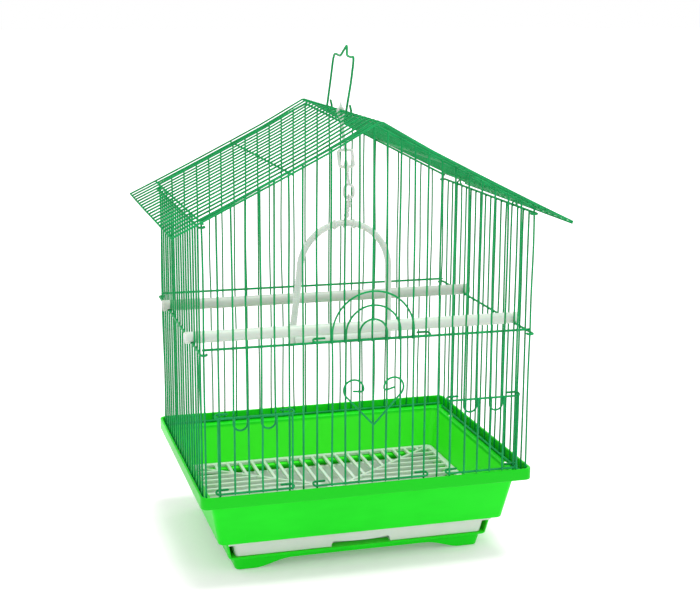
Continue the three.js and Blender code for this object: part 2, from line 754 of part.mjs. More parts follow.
// A link with a loop round the ring's lower bar and a wide hook loop below it.
function swingLink() {
  const loopInner = hangerRingWall / 2 + touchGap;
  const loopRadius = Math.hypot(loopInner, hangerThickness / 2) + linkThickness / 2 + linkPlay;
  const loop = arc(loopRadius, -90, 270, 8, (u, v) => [0, swingY + u, ringBarHeight + v]);
  const neck = wire([[0, swingY, ringBarHeight - loopRadius], [0, swingY, linkBottom + linkLoopHeight - 1]],
    linkThickness, across);
  const upper = wire(loop.slice(0, -1), linkThickness, across);
  const closing = wire([loop[loop.length - 2], loop[0]], linkThickness, across);
  const half = (linkLoopWidth - linkThickness) / 2;
  const low = linkBottom + linkThickness / 2;
  const high = linkBottom + linkLoopHeight - linkThickness / 2;
  const hook = [
    [0, swingY, high],
    [-half, swingY, high - half * 0.6],
    [-half, swingY, low + half * 0.4],
    [-half * 0.5, swingY, low],
    [half * 0.5, swingY, low],
    [half, swingY, low + half * 0.4],
    [half, swingY, high - half * 0.6],
    [0.2, swingY, high - 0.2],
  ];
  return join([upper, closing, neck, wire(hook, linkThickness, inward)]);
}

const hookBarHeight = linkBottom + linkThickness / 2;

// A beaded stem with an eye at each end: the link's hook passes through the upper one, the arch through the lower.
function swingStem() {
  const eyeHole = linkThickness / 2 / Math.cos(Math.PI / wireSides) + touchGap;
  const upperEyeRadius = eyeHole + 1.5;
  const archHole = swingArchDiameter / 2 / Math.cos(Math.PI / 8) + touchGap;
  const lowerEyeRadius = archHole + 1.6;
  const top = hookBarHeight - eyeHole - 0.3;
  const bottom = swingArchTop + archHole + 0.3;
  const beads = 3;
  const pitch = (top - bottom) / beads;
  const profile = [[0, bottom], [stemNeckDiameter / 2, bottom]];
  for (let k = 0; k < beads; k += 1) {
    const start = bottom + k * pitch;
    profile.push([stemNeckDiameter / 2, start + pitch * 0.2]);
    profile.push([stemBeadDiameter / 2, start + pitch * 0.45]);
    profile.push([stemBeadDiameter / 2, start + pitch * 0.6]);
    profile.push([stemNeckDiameter / 2, start + pitch * 0.85]);
  }
  profile.push([stemNeckDiameter / 2, top], [0, top]);
  const stem = new THREE.LatheGeometry(profile.map(([r, z]) => new THREE.Vector2(r, z)), 10);
  const eye = (radius, hole, height) => {
    const ring = new THREE.Shape().absarc(0, 0, radius, 0, 2 * Math.PI);
    ring.holes.push(new THREE.Path().absarc(0, 0, hole, 0, 2 * Math.PI, true));
    const geometry = new THREE.ExtrudeGeometry(ring, { depth: 3, bevelEnabled: false, curveSegments: 8 });
    return toSolid(geometry.translate(0, 0, -1.5).rotateY(Math.PI / 2).translate(0, swingY, height));
  };
  return toSolid(stem.rotateX(Math.PI / 2).translate(0, swingY, 0))
    .add(eye(upperEyeRadius, eyeHole, hookBarHeight))
    .add(eye(lowerEyeRadius, archHole, swingArchTop));
}

function archCorners() {
  const centre = swingArchTop - swingArchRise;
  const top = [];
  const steps = 12;
  for (let k = 0; k <= steps; k += 1) {
    const angle = Math.PI * (1 - k / steps);
    top.push([swingArchHalfWidth * Math.cos(angle), swingY, centre + swingArchRise * Math.sin(angle)]);
  }
  const foot = swingBarHeight - swingBarDiameter / 2 - 1;
  const footX = swingArchHalfWidth + swingLegFlare;
  return [[-footX, swingY, foot], ...top, [footX, swingY, foot]];
}

function swingArch() {
  const tube = wire(archCorners(), swingArchDiameter, inward, 8);
  const footX = swingArchHalfWidth + swingLegFlare;
  const seatReach = swingBarDiameter / 2 + touchGap;
  const sockets = new THREE.CylinderGeometry(seatReach - 2, seatReach - 2, 2 * footX, 12);
  return tube.subtract(toSolid(sockets.rotateZ(Math.PI / 2).translate(0, swingY, swingBarHeight)));
}

// The bar's narrowed ends sit in the arch's two legs.
function swingBar() {
  const footX = swingArchHalfWidth + swingLegFlare;
  const inner = footX - swingArchDiameter / 2 / Math.cos(Math.PI / 8) - touchGap;
  const endRadius = swingBarDiameter / 2 - 2;
  const radius = swingBarDiameter / 2;
  const reach = footX - touchGap;
  const profile = [[0, -reach], [endRadius, -reach], [endRadius, -inner], [radius, -inner]];
  const mirrored = profile.map(([r, x]) => [r, -x]).reverse();
  const points = [...profile, ...mirrored].map(([r, x]) => new THREE.Vector2(r, x));
  const bar = new THREE.LatheGeometry(points, 14);
  return toSolid(bar.rotateZ(-Math.PI / 2).translate(0, swingY, swingBarHeight));
}

addPiece('base_tub', baseTub(), materials.base);
addPiece('floor_grille', floorGrille(), materials.white);
addPiece('slide_tray', slideTray(), materials.white);
addPiece('front_panel', frontPanel(), materials.wire);
addPiece('back_panel', backPanel(), materials.wire);
addPiece('left_panel', sidePanel(-1), materials.wire);
addPiece('right_panel', sidePanel(1), materials.wire);
addPiece('roof_panel', roofPanel(), materials.wire);
addPiece('main_door', mainDoor(), materials.wire);
addPiece('heart_ornament', heartOrnament(), materials.wire);
addPiece('left_feeder_door', feederDoor(1), materials.wire);
addPiece('right_feeder_door', feederDoor(18), materials.wire);
addPiece('front_perch', perch(frontPerchGap), materials.white);
addPiece('rear_perch', perch(rearPerchGap), materials.white);
addPiece('swing_hanger', swingHanger(), materials.white);
addPiece('swing_link', swingLink(), materials.white);
addPiece('swing_stem', swingStem(), materials.white);
addPiece('swing_arch', swingArch(), materials.white);
addPiece('swing_bar', swingBar(), materials.white);
const handle = addPiece('carry_handle', carryHandle(), materials.wire);
handle.position.set(0, roofShift, ridgeRodHeight);
handle.rotation.y = handleLean;

export default cage;
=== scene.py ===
import json
import math
import random

import bpy
from bpy.props import FloatProperty, FloatVectorProperty, PointerProperty
from mathutils import Matrix, Vector


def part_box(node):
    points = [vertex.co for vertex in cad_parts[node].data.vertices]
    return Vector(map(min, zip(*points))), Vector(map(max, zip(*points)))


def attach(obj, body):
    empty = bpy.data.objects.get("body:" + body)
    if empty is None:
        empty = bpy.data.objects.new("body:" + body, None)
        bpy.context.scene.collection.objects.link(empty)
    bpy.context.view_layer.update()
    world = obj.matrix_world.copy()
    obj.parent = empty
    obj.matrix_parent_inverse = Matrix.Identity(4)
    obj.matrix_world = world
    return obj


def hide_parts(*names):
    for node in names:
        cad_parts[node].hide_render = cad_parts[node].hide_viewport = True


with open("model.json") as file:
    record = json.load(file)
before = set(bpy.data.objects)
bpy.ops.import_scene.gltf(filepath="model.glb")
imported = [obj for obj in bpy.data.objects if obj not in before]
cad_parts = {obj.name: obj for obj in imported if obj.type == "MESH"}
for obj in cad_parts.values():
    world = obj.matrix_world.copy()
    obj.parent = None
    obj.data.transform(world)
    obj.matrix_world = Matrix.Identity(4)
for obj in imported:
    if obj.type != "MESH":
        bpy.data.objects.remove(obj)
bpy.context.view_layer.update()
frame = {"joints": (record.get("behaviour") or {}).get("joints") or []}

bl_info = {
    "name": "Wire Bird Cage",
    "version": (1, 0, 0),
    "blender": (4, 5, 0),
    "location": "View3D > Sidebar > Bird Cage",
    "description": "Builds a house-shaped wire bird cage on its moulded base",
    "category": "Object",
}

MM = 0.001
WIRE_SLOT = "coated_wire"
BASE_SLOT = "base_plastic"
WHITE_SLOT = "white_plastic"


def box_mm(node):
    """A frame node's lowest and highest corner in millimetres."""
    low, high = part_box(node)
    return low / MM, high / MM


def joint_place(name):
    """The point that a hinge turns about, in millimetres."""
    joint = next(j for j in frame["joints"] if j["name"] == name)
    return Vector(joint["pos_m"]) / MM


# ---------------------------------------------------------------- sizes and colours


def length(name, description, default):
    return FloatProperty(name=name, description=description, default=default, unit="LENGTH")


def colour(name, description, *default):
    return FloatVectorProperty(name=name, description=description, subtype="COLOR", size=3, min=0, max=1,
                               default=default)


class CageSizes(bpy.types.PropertyGroup):
    """Wire stock and spacing."""

    wire: length("Wire", "Diameter of uprights, roof wires and door bars", 0.0019)
    rail: length("Rail", "Diameter of the wall rails and the handle", 0.0024)
    door_rail: length("Door rail", "Diameter of the doors' cross wires", 0.0022)
    front_pitch: length("Front spacing", "Spacing of the front and back uprights", 0.0136)
    roof_slope: FloatProperty(name="Roof slope", description="Slope of the roof",
                              default=math.radians(27.16), subtype="ANGLE")
    bow: length("Bow", "How far an upright strays from straight", 0.0007)


class CageColours(bpy.types.PropertyGroup):
    """Colours of the three finishes."""

    wire: colour("Wire", "Coating of the wires", 0.005, 0.32, 0.082)
    wire_shade: colour("Wire shade", "Coating where it is thick", 0.003, 0.255, 0.063)
    base: colour("Base", "Moulded base", 0.008, 0.70, 0.011)
    base_shade: colour("Base shade", "Moulded base where it is dull", 0.006, 0.645, 0.009)
    # Painted light: a lighter green laid on the base's upward-facing inner walls.
    base_inside_painted_light: colour("Base inside", "Thin inner walls, where light comes through", 0.052, 0.90, 0.022)
    # Painted shade: a darker green laid on the rim's front and sides.
    base_rim_painted_shade: colour("Base rim", "Doubled rim, where no light comes through", 0.004, 0.50, 0.006)
    white: colour("White", "Grille, tray, perches and swing", 0.61, 0.70, 0.61)
    white_shade: colour("White shade", "White plastic where it is dull", 0.56, 0.645, 0.56)


# ---------------------------------------------------------------- materials


class Amount:
    """A number in a material's nodes. Arithmetic on it adds Math nodes."""

    def __init__(self, finish, socket):
        self.finish = finish
        self.socket = socket

    def _math(self, operation, first, second):
        node = self.finish.node("ShaderNodeMath", {"operation": operation}, {0: first, 1: second})
        return Amount(self.finish, node.outputs[0])

    def __add__(self, other):
        return self._math("ADD", self, other)

    __radd__ = __add__

    def __mul__(self, other):
        return self._math("MULTIPLY", self, other)

    __rmul__ = __mul__

    def __rsub__(self, other):
        return self._math("SUBTRACT", other, self)


class Finish:
    """One material and its shader."""

    def __init__(self, name):
        self.material = bpy.data.materials.new(name)
        self.material.use_nodes = True
        self.nodes = self.material.node_tree.nodes
        self.links = self.material.node_tree.links
        self.shader = self.nodes["Principled BSDF"]
        self.place = self.node("ShaderNodeTexCoord").outputs["Object"]

    def node(self, kind, settings=None, sockets=None):
        made = self.nodes.new(kind)
        for key, value in (settings or {}).items():
            setattr(made, key, value)
        for key, value in (sockets or {}).items():
            self.feed(made.inputs[key], value)
        return made

    def feed(self, socket, value):
        if isinstance(value, Amount):
            value = value.socket
        if isinstance(value, bpy.types.NodeSocket):
            self.links.new(value, socket)
        else:
            socket.default_value = value

    def noise(self, scale, detail=2.0, stretch=(1, 1, 1)):
        """Noise from 0 to 1 over the piece; scale is in repeats per metre."""
        place = self.place
        if stretch != (1, 1, 1):
            place = self.node("ShaderNodeMapping", None, {"Vector": place, "Scale": stretch}).outputs[0]
        made = self.node("ShaderNodeTexNoise", None,
                         {"Vector": place, "Scale": scale, "Detail": detail})
        return Amount(self, made.outputs["Fac"])

    def axis(self, vector, name):
        """One axis of a vector."""
        return Amount(self, self.node("ShaderNodeSeparateXYZ", None, {0: vector}).outputs[name])

    def step(self, amount, low, high):
        """0 below low, 1 above high, smooth between."""
        made = self.node("ShaderNodeMapRange", {"interpolation_type": "SMOOTHSTEP"},
                         {"Value": amount, "From Min": low, "From Max": high})
        return Amount(self, made.outputs[0])

    def blend(self, amount, first, second):
        """A colour between two colours."""
        made = self.node("ShaderNodeMix", {"data_type": "RGBA"})
        self.feed(made.inputs["Factor"], amount)
        for key, value in ((6, first), (7, second)):
            self.feed(made.inputs[key], value)
        return made.outputs[2]

    def bump(self, height, strength, distance):
        made = self.node("ShaderNodeBump", None,
                         {"Height": height, "Strength": strength, "Distance": distance})
        self.feed(self.shader.inputs["Normal"], made.outputs[0])

    def constants(self, specular, **values):
        self.shader.inputs["Specular IOR Level"].default_value = specular
        for key, value in values.items():
            self.shader.inputs[key.replace("_", " ").title()].default_value = value


def rgba(rgb):
    return (*rgb, 1.0)


COAT_SHINE = 0.14  # specular level of the wire coating and the green plastic
SCUFF = (0.08, 0.68, 0.10, 1.0)
DUST = (0.50, 0.49, 0.44, 1.0)
# Painted shade: the greyer colour laid over the rear perch.
REAR_ROD_PAINTED_SHADE = (0.43, 0.49, 0.42, 1.0)


def coated_wire(colours):
    """Satin green coating over steel wire, a little uneven in thickness and gloss."""
    f = Finish("coated_wire")
    patches = f.noise(55, 3)
    grain = f.noise(1400, 2)
    f.feed(f.shader.inputs["Base Color"],
           f.blend(f.step(patches, 0.35, 0.65), rgba(colours.wire_shade), rgba(colours.wire)))
    f.feed(f.shader.inputs["Roughness"], 0.36 + patches * 0.18)
    f.bump(grain + patches * 0.6, 0.25, 0.00012)
    f.constants(specular=COAT_SHINE)
    return f.material


def moulded_green(colours):
    """Semi-gloss injection-moulded plastic with faint flow marks and handling scuffs.

    The rim's front and sides carry painted shade, a darker green, and the faces of the tub that point upward
    carry painted light, a lighter green.
    """
    f = Finish("moulded_green")
    clouds = f.noise(9, 4)
    flow = f.noise(26, 3, stretch=(1, 1, 3.5))
    grain = f.noise(1900, 2)
    scuffs = f.step(f.noise(340, 5, stretch=(1, 1, 0.12)), 0.68, 0.78)
    marks = f.step(clouds * 0.6 + flow * 0.4, 0.36, 0.64)
    worn = f.blend(scuffs * 0.10, f.blend(marks, rgba(colours.base_shade), rgba(colours.base)), SCUFF)
    height = f.axis(f.place, "Z")
    rim = f.step(height, RIM_FOOT * MM - 0.002, RIM_FOOT * MM + 0.001)
    facing = f.axis(f.node("ShaderNodeNewGeometry").outputs["Normal"], "Z")
    # Painted light: faces that point upward, below the rim band, take the lighter inside green.
    inside = f.step(facing, -0.02, 0.16) * (1 - rim)
    shell = f.blend(inside * 0.8, worn, rgba(colours.base_inside_painted_light))
    # Painted shade: the rim band at the front and sides takes the darker rim green.
    rim_painted_shade = rim * (1 - f.step(f.axis(f.place, "Y"), 0.02, 0.10))
    f.feed(f.shader.inputs["Base Color"], f.blend(rim_painted_shade * 0.8, shell, rgba(colours.base_rim_painted_shade)))
    f.feed(f.shader.inputs["Roughness"], 0.30 + flow * 0.10 + scuffs * 0.14)
    f.bump(grain + clouds * 3.0, 0.16, 0.0001)
    f.constants(specular=COAT_SHINE)
    return f.material


def moulded_white(colours):
    """White plastic, satin, a little duller in patches, with painted shade on the rear perch."""
    f = Finish("moulded_white")
    clouds = f.noise(22, 4)
    grain = f.noise(1700, 2)
    specks = f.step(f.noise(620, 3), 0.70, 0.78)
    plain = f.blend(f.step(clouds, 0.38, 0.66), rgba(colours.white_shade), rgba(colours.white))
    dusty = f.blend(specks * 0.12, plain, DUST)
    # Painted shade: the rear perch, found by its place, is darkened.
    rear_perch_shade_mask = f.step(f.axis(f.place, "Y"), 0.02, 0.03) * f.step(f.axis(f.place, "Z"), 0.18, 0.19)
    f.feed(f.shader.inputs["Base Color"], f.blend(rear_perch_shade_mask * 0.85, dusty, REAR_ROD_PAINTED_SHADE))
    f.feed(f.shader.inputs["Roughness"], 0.34 + clouds * 0.16)
    f.bump(grain + clouds * 2.0, 0.18, 0.0001)
    f.constants(specular=0.5, subsurface_weight=0.1, subsurface_scale=0.003)
    return f.material


RIM_BAND = 12  # height of the base's rim
RIM_FOOT = box_mm("base_tub")[1].z - RIM_BAND

MAKERS = {WIRE_SLOT: coated_wire, BASE_SLOT: moulded_green, WHITE_SLOT: moulded_white}
made_materials = {}


def material(slot):
    if slot not in made_materials:
        made_materials[slot] = MAKERS[slot](bpy.context.scene.cage_colours)
    return made_materials[slot]


# ---------------------------------------------------------------- modelling helpers


def only(obj):
    """Makes obj the one selected and active object."""
    if bpy.context.mode != "OBJECT":
        bpy.ops.object.mode_set(mode="OBJECT")
    bpy.ops.object.select_all(action="DESELECT")
    obj.select_set(True)
    bpy.context.view_layer.objects.active = obj


def edit(select="SELECT"):
    bpy.ops.object.mode_set(mode="EDIT")
    bpy.ops.mesh.select_all(action=select)


def done_editing():
    bpy.ops.object.mode_set(mode="OBJECT")


def pick(obj, kind, test):
    """Opens obj in edit mode with only the faces or edges that pass the test selected."""
    only(obj)
    edit("DESELECT")
    bpy.ops.mesh.select_mode(type=kind)
    bpy.ops.mesh.select_all(action="DESELECT")
    done_editing()
    for element in obj.data.polygons if kind == "FACE" else obj.data.edges:
        element.select = test(element)
    bpy.ops.object.mode_set(mode="EDIT")


def done_picking():
    bpy.ops.mesh.select_mode(type="VERT")
    done_editing()


def start(primitive, name, **settings):
    """Adds a primitive on its own and names it."""
    bpy.ops.object.select_all(action="DESELECT")
    primitive(**settings)
    obj = bpy.context.object
    obj.name = obj.data.name = name
    return obj


def modifier(obj, kind, **settings):
    """Adds a modifier and applies it."""
    only(obj)
    bpy.ops.object.modifier_add(type=kind)
    made = obj.modifiers[-1]
    for key, value in settings.items():
        setattr(made, key, value)
    bpy.ops.object.modifier_apply(modifier=made.name)


def cut(obj, cutter, operation="DIFFERENCE"):
    modifier(obj, "BOOLEAN", operation=operation, object=cutter, solver="EXACT")
    bpy.data.objects.remove(cutter, do_unlink=True)


def merge(objects, name):
    """Joins finished meshes into one object."""
    only(objects[0])
    for obj in objects:
        obj.select_set(True)
    if len(objects) > 1:
        bpy.ops.object.join()
    obj = bpy.context.object
    obj.name = obj.data.name = name
    return obj


def finish_piece(obj, slot, body, nodes, angle=40):
    """Sets the piece's place, shading, material, body and the nodes it stands for."""
    only(obj)
    bpy.ops.object.transform_apply(location=True, rotation=True, scale=True)
    edit()
    bpy.ops.mesh.remove_doubles(threshold=1e-6)
    bpy.ops.mesh.normals_make_consistent(inside=False)
    done_editing()
    bpy.ops.object.shade_smooth_by_angle(angle=math.radians(angle))
    obj.data.materials.clear()
    obj.data.materials.append(material(slot))
    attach(obj, body)
    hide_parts(*nodes)
    return obj


class Wires:
    """Lengths of round wire that are bent one by one and then made one mesh. Points are in millimetres."""

    def __init__(self, name, resolution=3):
        curve = bpy.data.curves.new(name, "CURVE")
        curve.dimensions = "3D"
        curve.bevel_depth = MM  # so a point's radius is in millimetres
        curve.bevel_resolution = resolution
        curve.use_fill_caps = True
        curve.twist_mode = "MINIMUM"
        self.curve = curve

    def bend(self, points, diameter, closed=False, radii=None):
        """One wire through the points; its ends are rounded over unless it is closed."""
        points = [Vector(p) for p in points]
        sizes = list(radii) if radii else [diameter / 2] * len(points)
        if not closed:
            first = (points[1] - points[0]).normalized()
            last = (points[-2] - points[-1]).normalized()
            tip = min(0.35 * diameter, (points[1] - points[0]).length * 0.4,
                      (points[-2] - points[-1]).length * 0.4)
            points = [points[0], points[0] + first * tip, *points[1:-1], points[-1] + last * tip, points[-1]]
            sizes = [sizes[0] * 0.55, sizes[0], *sizes[1:-1], sizes[-1], sizes[-1] * 0.55]
        spline = self.curve.splines.new("POLY")
        spline.points.add(len(points) - 1)
        for point, place, size in zip(spline.points, points, sizes):
            point.co = (*(place * MM), 1.0)
            point.radius = size
        spline.use_cyclic_u = closed

    def bead(self, place, axis, size):
        """A small weld bead, fattest in the middle, lying along an axis."""
        middle = Vector(place)
        half = Vector(axis).normalized() * size * 0.62
        self.bend([middle - half, middle - half * 0.4, middle + half * 0.4, middle + half], size,
                  radii=[size * 0.30, size * 0.46, size * 0.46, size * 0.30])

    def make(self):
        obj = bpy.data.objects.new(self.curve.name, self.curve)
        bpy.context.scene.collection.objects.link(obj)
        only(obj)
        bpy.ops.object.convert(target="MESH")
        return bpy.context.object

    def finish(self, slot, body, node):
        return finish_piece(self.make(), slot, body, [node], angle=60)


def arc(radius, start_degrees, end_degrees, steps, place):
    """Points on an arc; place turns (u, v) in the arc's own plane into a point."""
    points = []
    for k in range(steps + 1):
        angle = math.radians(start_degrees + (end_degrees - start_degrees) * k / steps)
        points.append(place(radius * math.cos(angle), radius * math.sin(angle)))
    return points


def rounded(corners, radius, steps=4):
    """The same path with each inner corner rounded."""
    corners = [Vector(c) for c in corners]
    path = [corners[0]]
    for before, here, after in zip(corners, corners[1:], corners[2:]):
        back, ahead = (before - here), (after - here)
        reach = min(radius, back.length * 0.45, ahead.length * 0.45)
        first, last = here + back.normalized() * reach, here + ahead.normalized() * reach
        for k in range(steps + 1):
            t = k / steps
            path.append(first * (1 - t) ** 2 + here * 2 * t * (1 - t) + last * t ** 2)
    return [*path, corners[-1]]


def bowed(low, high, sideways, bow, chance, steps=7):
    """A nearly straight wire from low to high that strays a little sideways between its welds."""
    low, high, sideways = Vector(low), Vector(high), Vector(sideways)
    first, second = chance.uniform(-1, 1), chance.uniform(-0.6, 0.6)
    points = []
    for k in range(steps + 1):
        t = k / steps
        stray = first * math.sin(math.pi * t) + second * math.sin(2 * math.pi * t)
        points.append(low.lerp(high, t) + sideways * bow * stray)
    return points


def loft(name, sections, radius, centre=(0, 0), segments=8):
    """A closed skin through rounded rectangles given as (half width, half depth, height), in millimetres.

    The first and last rectangles are filled, so the sections run from one cap to the other.
    """
    half_width, half_depth, height = sections[0]
    obj = start(bpy.ops.mesh.primitive_plane_add, name, size=2,
                location=(centre[0] * MM, centre[1] * MM, height * MM))
    edit()
    bpy.ops.transform.resize(value=(half_width * MM, half_depth * MM, 1))
    bpy.ops.mesh.bevel(affect="VERTICES", offset=radius * MM, segments=segments)
    bpy.ops.mesh.select_all(action="SELECT")
    for wide, deep, high in sections[1:]:
        bpy.ops.mesh.extrude_region_move(
            TRANSFORM_OT_translate={"value": (0, 0, (high - height) * MM)})
        bpy.ops.transform.resize(value=(wide / half_width, deep / half_depth, 1),
                                 center_override=(centre[0] * MM, centre[1] * MM, high * MM))
        half_width, half_depth, height = wide, deep, high
    bpy.ops.mesh.select_all(action="SELECT")
    bpy.ops.mesh.normals_make_consistent(inside=False)
    done_editing()
    return obj


def bar(name, low, high, edge=0.4):
    """A bar with softened edges between two corners, in millimetres."""
    low, high = Vector(low), Vector(high)
    obj = start(bpy.ops.mesh.primitive_cube_add, name, size=1, location=(low + high) / 2 * MM)
    edit()
    bpy.ops.transform.resize(value=tuple((high - low) * MM))
    if edge:
        bpy.ops.mesh.bevel(offset=edge * MM, segments=2)
    done_editing()
    return obj


# ---------------------------------------------------------------- layout shared by several pieces


WELD_SINK = 0.35  # how far two welded wires sink into each other
FRONT_MIDDLE = 12  # the middle upright of the front and back walls
SIDE_MIDDLE = 9  # the middle place among the side uprights, whose first and last are the corner uprights
ROOF_WIRES = 21
CREST_RADIUS = 6
MID_RAIL_RISE = 142.5  # from the main door's lowest point, so its top hooks clear the rail
SIDE_RAIL_DROP = 4  # side rails run this far below the front and back rails
ACROSS, ALONG = (1, 0, 0), (0, 1, 0)
UPRIGHT = (0, 0, 1)


class Layout:
    """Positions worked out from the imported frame, in millimetres."""

    def __init__(self, sizes):
        self.wire = sizes.wire / MM
        self.rail = sizes.rail / MM
        self.door_rail = sizes.door_rail / MM
        self.pitch = sizes.front_pitch / MM
        self.slope = sizes.roof_slope
        self.bow = sizes.bow / MM
        front_low, front_high = box_mm("front_panel")
        roof_low, roof_high = box_mm("roof_panel")
        door_low, _ = box_mm("main_door")
        _, side_high = box_mm("right_panel")
        self.half_width = FRONT_MIDDLE * self.pitch
        self.half_depth = -front_low.y - self.wire / 2
        self.rail_inset = front_high.y - front_low.y - self.wire / 2 - self.rail / 2
        self.wire_foot = front_low.z
        self.bottom_rail = self.wire_foot + self.rail / 2 + 0.2
        self.mid_rail = door_low.z + MID_RAIL_RISE
        self.side_rail = self.mid_rail - SIDE_RAIL_DROP
        self.side_top = side_high.z - 4.8  # the clip wires stand above the top rail
        self.roof_front = roof_low.y + self.wire / 2 + 1.0
        self.roof_back = roof_high.y - self.wire / 2 - 1.0
        self.crest = roof_high.z - self.wire / 2
        self.eave = roof_high.x - 0.5
        self.apex = self.crest + 0.74
        self.hinge = joint_place("handle_fold")
        self.side_pitch = self.side_y(1) - self.side_y(0)

    def front_x(self, index):
        return (index - FRONT_MIDDLE) * self.pitch

    def roof_y(self, index):
        return self.roof_front + index * (self.roof_back - self.roof_front) / (ROOF_WIRES - 1)

    def side_y(self, index):
        return (index - SIDE_MIDDLE) * self.half_depth / SIDE_MIDDLE

    def slope_z(self, apex, x):
        return apex - math.tan(self.slope) * abs(x)

    def gable(self, apex, reach, y, steps=6):
        """A wire over both slopes with a rounded crest."""
        centre = apex - CREST_RADIUS / math.cos(self.slope)
        tilt = math.degrees(self.slope)
        crest = arc(CREST_RADIUS, 90 + tilt, 90 - tilt, steps, lambda u, v: (u, y, centre + v))
        return [(-reach, y, self.slope_z(apex, reach)), *crest, (reach, y, self.slope_z(apex, reach))]


def layout():
    return Layout(bpy.context.scene.cage_sizes)


# ---------------------------------------------------------------- operators, one per piece or group


WALL_SLOPE = 0.2  # inward lean of the moulded walls
WALL = 2.5
SIDE_OVERHANG, FRONT_OVERHANG = 11.5, 15.5  # rim edge to the tub wall
LIP = 2.4  # thickness of the rim's lip and of the ledge under it
RING = 4  # thickness of the ring that carries the grille
RING_REACH = 11.8
HOUSING_INSET = 8
SKIRT_INSET = 4.5
FOOT_LEAN = 3.0
SKIRT_WALL = 4
FOOT_FLAT, FOOT_BLEND = 20, 41  # flat run of a foot, and the run over which it rises
ARCH_RISE = 8.8
REST_GAP = 0.35  # between two pieces that rest on each other
MOUTH_HALF_DEPTH, MOUTH_FORWARD = 40, 12  # the cutter that opens the front for the tray
SLOT_PLACE, SLOT_HALF = 85, 6  # slots in the side ledges


class CAGE_OT_base(bpy.types.Operator):
    """Mould the base: rim, sloping tub, grille ring, tray housing and footed skirt."""

    bl_idname = "cage.base"
    bl_label = "Moulded base"

    def execute(self, context):
        low, high = box_mm("base_tub")
        grille_low, _ = box_mm("floor_grille")
        tray_low, _ = box_mm("slide_tray")
        rim_x, rim_y, rim = high.x, high.y, high.z
        under_rim = rim - RIM_BAND
        ledge = under_rim + LIP
        ring_top = grille_low.z - REST_GAP
        tub_low = ring_top - RING
        floor = tray_low.z - REST_GAP
        tub_x, tub_y = rim_x - SIDE_OVERHANG, rim_y - FRONT_OVERHANG
        drop = WALL_SLOPE * (under_rim - tub_low)
        base_x, base_y = tub_x - drop, tub_y - drop
        house_low = floor - 2.3
        house_drop = WALL_SLOPE * (tub_low - house_low)
        house_x, house_y = base_x - HOUSING_INSET, base_y - HOUSING_INSET
        inner_x, inner_y = base_x - WALL + 0.8, base_y - WALL + 0.8
        skirt_x, skirt_y = house_x - house_drop - SKIRT_INSET, house_y - house_drop - SKIRT_INSET
        foot_x, foot_y = skirt_x - FOOT_LEAN, skirt_y - FOOT_LEAN
        sections = [
            (house_x - house_drop - 1.6, house_y - house_drop - 1.6, floor),
            (house_x - 2, house_y - 2, tub_low),
            (inner_x - RING_REACH, inner_y - RING_REACH, tub_low),
            (inner_x - RING_REACH, inner_y - RING_REACH, ring_top),
            (inner_x, inner_y, ring_top),
            (tub_x - WALL + 0.5, tub_y - WALL + 0.5, ledge),
            (rim_x - LIP, rim_y - LIP, ledge),
            (rim_x - LIP, rim_y - LIP, rim),
            (rim_x, rim_y, rim),
            (rim_x, rim_y, under_rim),
            (tub_x, tub_y, under_rim),
            (base_x, base_y, tub_low),
            (house_x, house_y, tub_low),
            (house_x - house_drop, house_y - house_drop, house_low),
            (skirt_x, skirt_y, house_low),
            (foot_x, foot_y, low.z),
            (foot_x - SKIRT_WALL, foot_y - SKIRT_WALL, low.z),
            (foot_x - SKIRT_WALL, foot_y - SKIRT_WALL, house_low),
        ]
        tub = loft("base_moulding", sections, 5.5)
        modifier(tub, "BEVEL", width=0.9 * MM, segments=3, limit_method="ANGLE",
                 angle_limit=math.radians(35))
        mouth_x = house_x - house_drop - 1.9
        mouth = loft("mouth_cutter", [
            (mouth_x, MOUTH_HALF_DEPTH, floor),
            (mouth_x + WALL_SLOPE * (tub_low - floor), MOUTH_HALF_DEPTH, tub_low - 0.01),
        ], 6, centre=(0, -house_y - MOUTH_FORWARD))
        cut(tub, mouth)
        for across, half in ((True, skirt_x), (False, skirt_y)):
            cut(tub, self.arch_cutter(across, half, rim_x * 2))
        for side in (-1, 1):
            for end in (-1, 1):
                slot_x = sorted((side * (rim_x - 10.5), side * (rim_x - 5.5)))
                cut(tub, bar("slot_cutter", (slot_x[0], end * SLOT_PLACE - SLOT_HALF, under_rim - 3),
                             (slot_x[1], end * SLOT_PLACE + SLOT_HALF, ledge + 3), edge=0))
        finish_piece(tub, BASE_SLOT, "cage", ["base_tub"], angle=32)
        return {"FINISHED"}

    def arch_cutter(self, across, half, reach):
        """A long block whose top rises smoothly between two feet."""
        run = half - FOOT_FLAT
        flat = run - FOOT_BLEND
        obj = start(bpy.ops.mesh.primitive_cube_add, "arch_cutter", size=2, location=(0, 0, 0))
        edit()
        bpy.ops.transform.resize(value=(run * MM, reach * MM, 2 * MM))
        done_editing()
        corners = obj.data.vertices

        def lengthwise(edge):
            first, last = (corners[k].co.x for k in edge.vertices)
            return abs(first - last) > run * MM

        pick(obj, "EDGE", lengthwise)
        bpy.ops.mesh.subdivide(number_cuts=40)
        done_picking()
        for vertex in obj.data.vertices:
            along = abs(vertex.co.x) / MM
            if vertex.co.z > 0:
                t = min(max((along - flat) / FOOT_BLEND, 0), 1)
                rise = ARCH_RISE * (1 + math.cos(math.pi * t)) / 2
                vertex.co.z = rise * MM - (0.02 * MM if t >= 1 else 0)
            else:
                vertex.co.z = -5 * MM
            if not across:
                vertex.co.x, vertex.co.y = -vertex.co.y, vertex.co.x
        return obj


GRILLE_FRAME, GRILLE_PITCH, GRILLE_RIB = 6, 14, 3.4


